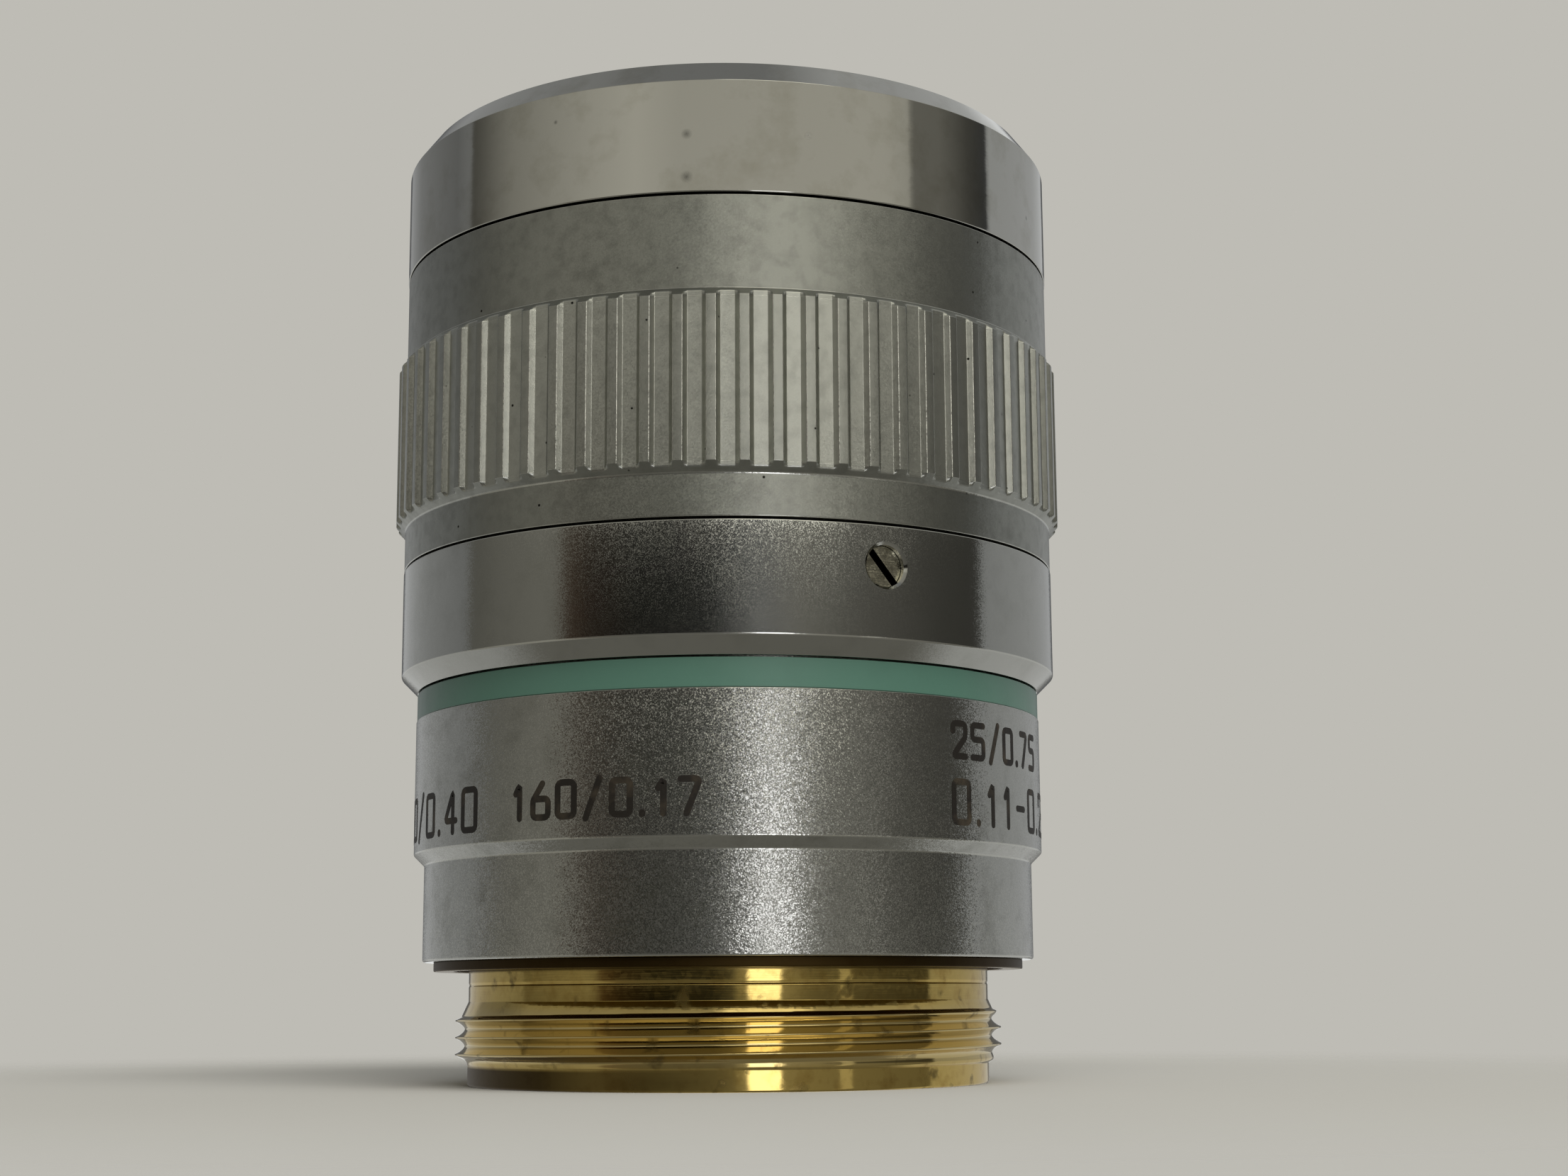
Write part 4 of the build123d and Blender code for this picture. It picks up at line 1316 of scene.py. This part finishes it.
# %% Numbers on the rear barrel
STROKE = 0.28
SMALL_FIGURE, LARGE_FIGURE = 1.4, 1.72
BARREL_TEXTS = [
    ("160/0.17", -38.5, 11.27, SMALL_FIGURE),
    ("20/0.40", -85.0, 10.97, LARGE_FIGURE),
    ("25/0.75", 41.1, 13.93, SMALL_FIGURE),
    ("0.11-0.23", 41.1, 11.12, LARGE_FIGURE),
]
barrel_lines = []
for text, degrees, base, size in BARREL_TEXTS:
    lines, text_end = text_lines(text, radians(degrees) * UPPER_RADIUS, base, size)
    barrel_lines += lines
    print(text, "ends at bearing", round(np.degrees(text_end / UPPER_RADIUS), 1))
engrave("barrel_numbers", barrel_lines, UPPER_RADIUS, STROKE, CORNER_SHARE * SMALL_FIGURE, "body")

# %% [markdown]
# The collar's scale lies on the side away from the camera. It gives the thickness of the glass that is
# looked through, in tenths of a millimetre, with a tick every 10 degrees and a number at every third
# tick. It rides on the collar, and the line that it is read against is engraved in the index ring and
# stays with the body.

# %% Scale of the correction collar
SCALE_NUMBERS = ["11", "14", "17", "20", "23"]
TICKS_PER_NUMBER = 3
TICK_DEGREES = 10
TICK_LOW, TICK_HIGH, LONG_TICK_HIGH = 0.15, 0.5, 0.66
SCALE_BASE, SCALE_FIGURE = 0.92, 0.56
SCALE_STROKE = 0.11
INDEX_LINE = (-1.5, -0.15)
INDEX_STROKE = 0.18
tick_count = TICKS_PER_NUMBER * (len(SCALE_NUMBERS) - 1) + 1
scale_lines = []
for tick in range(tick_count):
    arc = radians(180 + (tick - tick_count // 2) * TICK_DEGREES) * rim_radius
    numbered = tick % TICKS_PER_NUMBER == 0
    tick_high = LONG_TICK_HIGH if numbered else TICK_HIGH
    scale_lines.append(np.array([(arc, COLLAR_Z + TICK_LOW), (arc, COLLAR_Z + tick_high)]))
    if numbered:
        number_text = SCALE_NUMBERS[tick // TICKS_PER_NUMBER]
        length = text_lines(number_text, 0.0, 0.0, SCALE_FIGURE)[1]
        scale_lines += text_lines(number_text, arc - length / 2, COLLAR_Z + SCALE_BASE, SCALE_FIGURE)[0]
engrave("collar_scale", scale_lines, rim_radius, SCALE_STROKE, CORNER_SHARE * SCALE_FIGURE, "collar")
index_line = np.array([(pi * INDEX_RADIUS, INDEX_TOP + at) for at in INDEX_LINE])
engrave("index_line", [index_line], INDEX_RADIUS, INDEX_STROKE, 0.0, "body")

# %% [markdown]
# The floor is a round sheet of pale matt paper that fades into the background of the same colour, so
# there is no horizon. It keeps the soft shadow of the object. Metal looks past it at the tent.

# %% Floor
FLOOR_INNER, FLOOR_OUTER, FLOOR_STEPS = 0.5, 150.0, 24
FLOOR_RINGS = np.linspace(FLOOR_INNER, FLOOR_OUTER, FLOOR_STEPS)
FLOOR_SPOKES = 96
FADE_START, FADE_END = 30.0, 75.0
spokes = np.arange(FLOOR_SPOKES) * 2 * pi / FLOOR_SPOKES
floor_points = carry_round(FLOOR_RINGS[:, None], 0.0, spokes).reshape(-1, 3)
floor_faces = grid_faces(len(FLOOR_RINGS), FLOOR_SPOKES)[:-FLOOR_SPOKES, ::-1]
floor_mesh = bpy.data.meshes.new("floor")
floor_mesh.from_pydata((floor_points * MM).tolist(), [], floor_faces.tolist())
matt_paper = bpy.data.materials.new("matt_paper")
matt_paper.use_nodes = True
paper = matt_paper.node_tree
paper.nodes.clear()
spot = add(paper, "ShaderNodeTexCoord").node.outputs["Object"]
away = add(paper, "ShaderNodeVectorMath", {0: spot}, operation="LENGTH")
fade_limits = {0: away, 1: FADE_START * MM, 2: FADE_END * MM}
fade = add(paper, "ShaderNodeMapRange", fade_limits, interpolation_type="SMOOTHSTEP")
sheet = add(paper, "ShaderNodeBsdfDiffuse", {"Color": linear(PALE)})
clear = add(paper, "ShaderNodeBsdfTransparent")
faded = add(paper, "ShaderNodeMixShader", {0: fade, 1: sheet, 2: clear})
add(paper, "ShaderNodeOutputMaterial", {"Surface": faded})
floor_mesh.materials.append(matt_paper)
floor = bpy.data.objects.new("floor", floor_mesh)
bpy.context.scene.collection.objects.link(floor)
floor.visible_glossy = False
print("floor faces:", len(floor_mesh.polygons))

# %% [markdown]
# One large soft lamp above the camera lights the enamel and the engraving evenly and throws a soft
# shadow. Its level is plain: with the tent's light it brings the paper to the colour that is written for
# it.

# %% Key lamp
KEY_PLACE = Vector((0.25, -0.65, 0.8))
KEY_AIM = Vector((0.0, 0.0, 0.01))
KEY_SIZE = 0.9
KEY_WATTS = 9.5
key_data = bpy.data.lights.new("key_softbox", "AREA")
key_data.size = KEY_SIZE
key_data.energy = KEY_WATTS
key = bpy.data.objects.new("key_softbox", key_data)
bpy.context.scene.collection.objects.link(key)
key.location = KEY_PLACE
key.rotation_euler = (KEY_AIM - KEY_PLACE).to_track_quat("-Z", "Y").to_euler()
key.visible_glossy = False
key.visible_camera = False
print("key lamp distance in mm:", round((KEY_AIM - KEY_PLACE).length / MM))
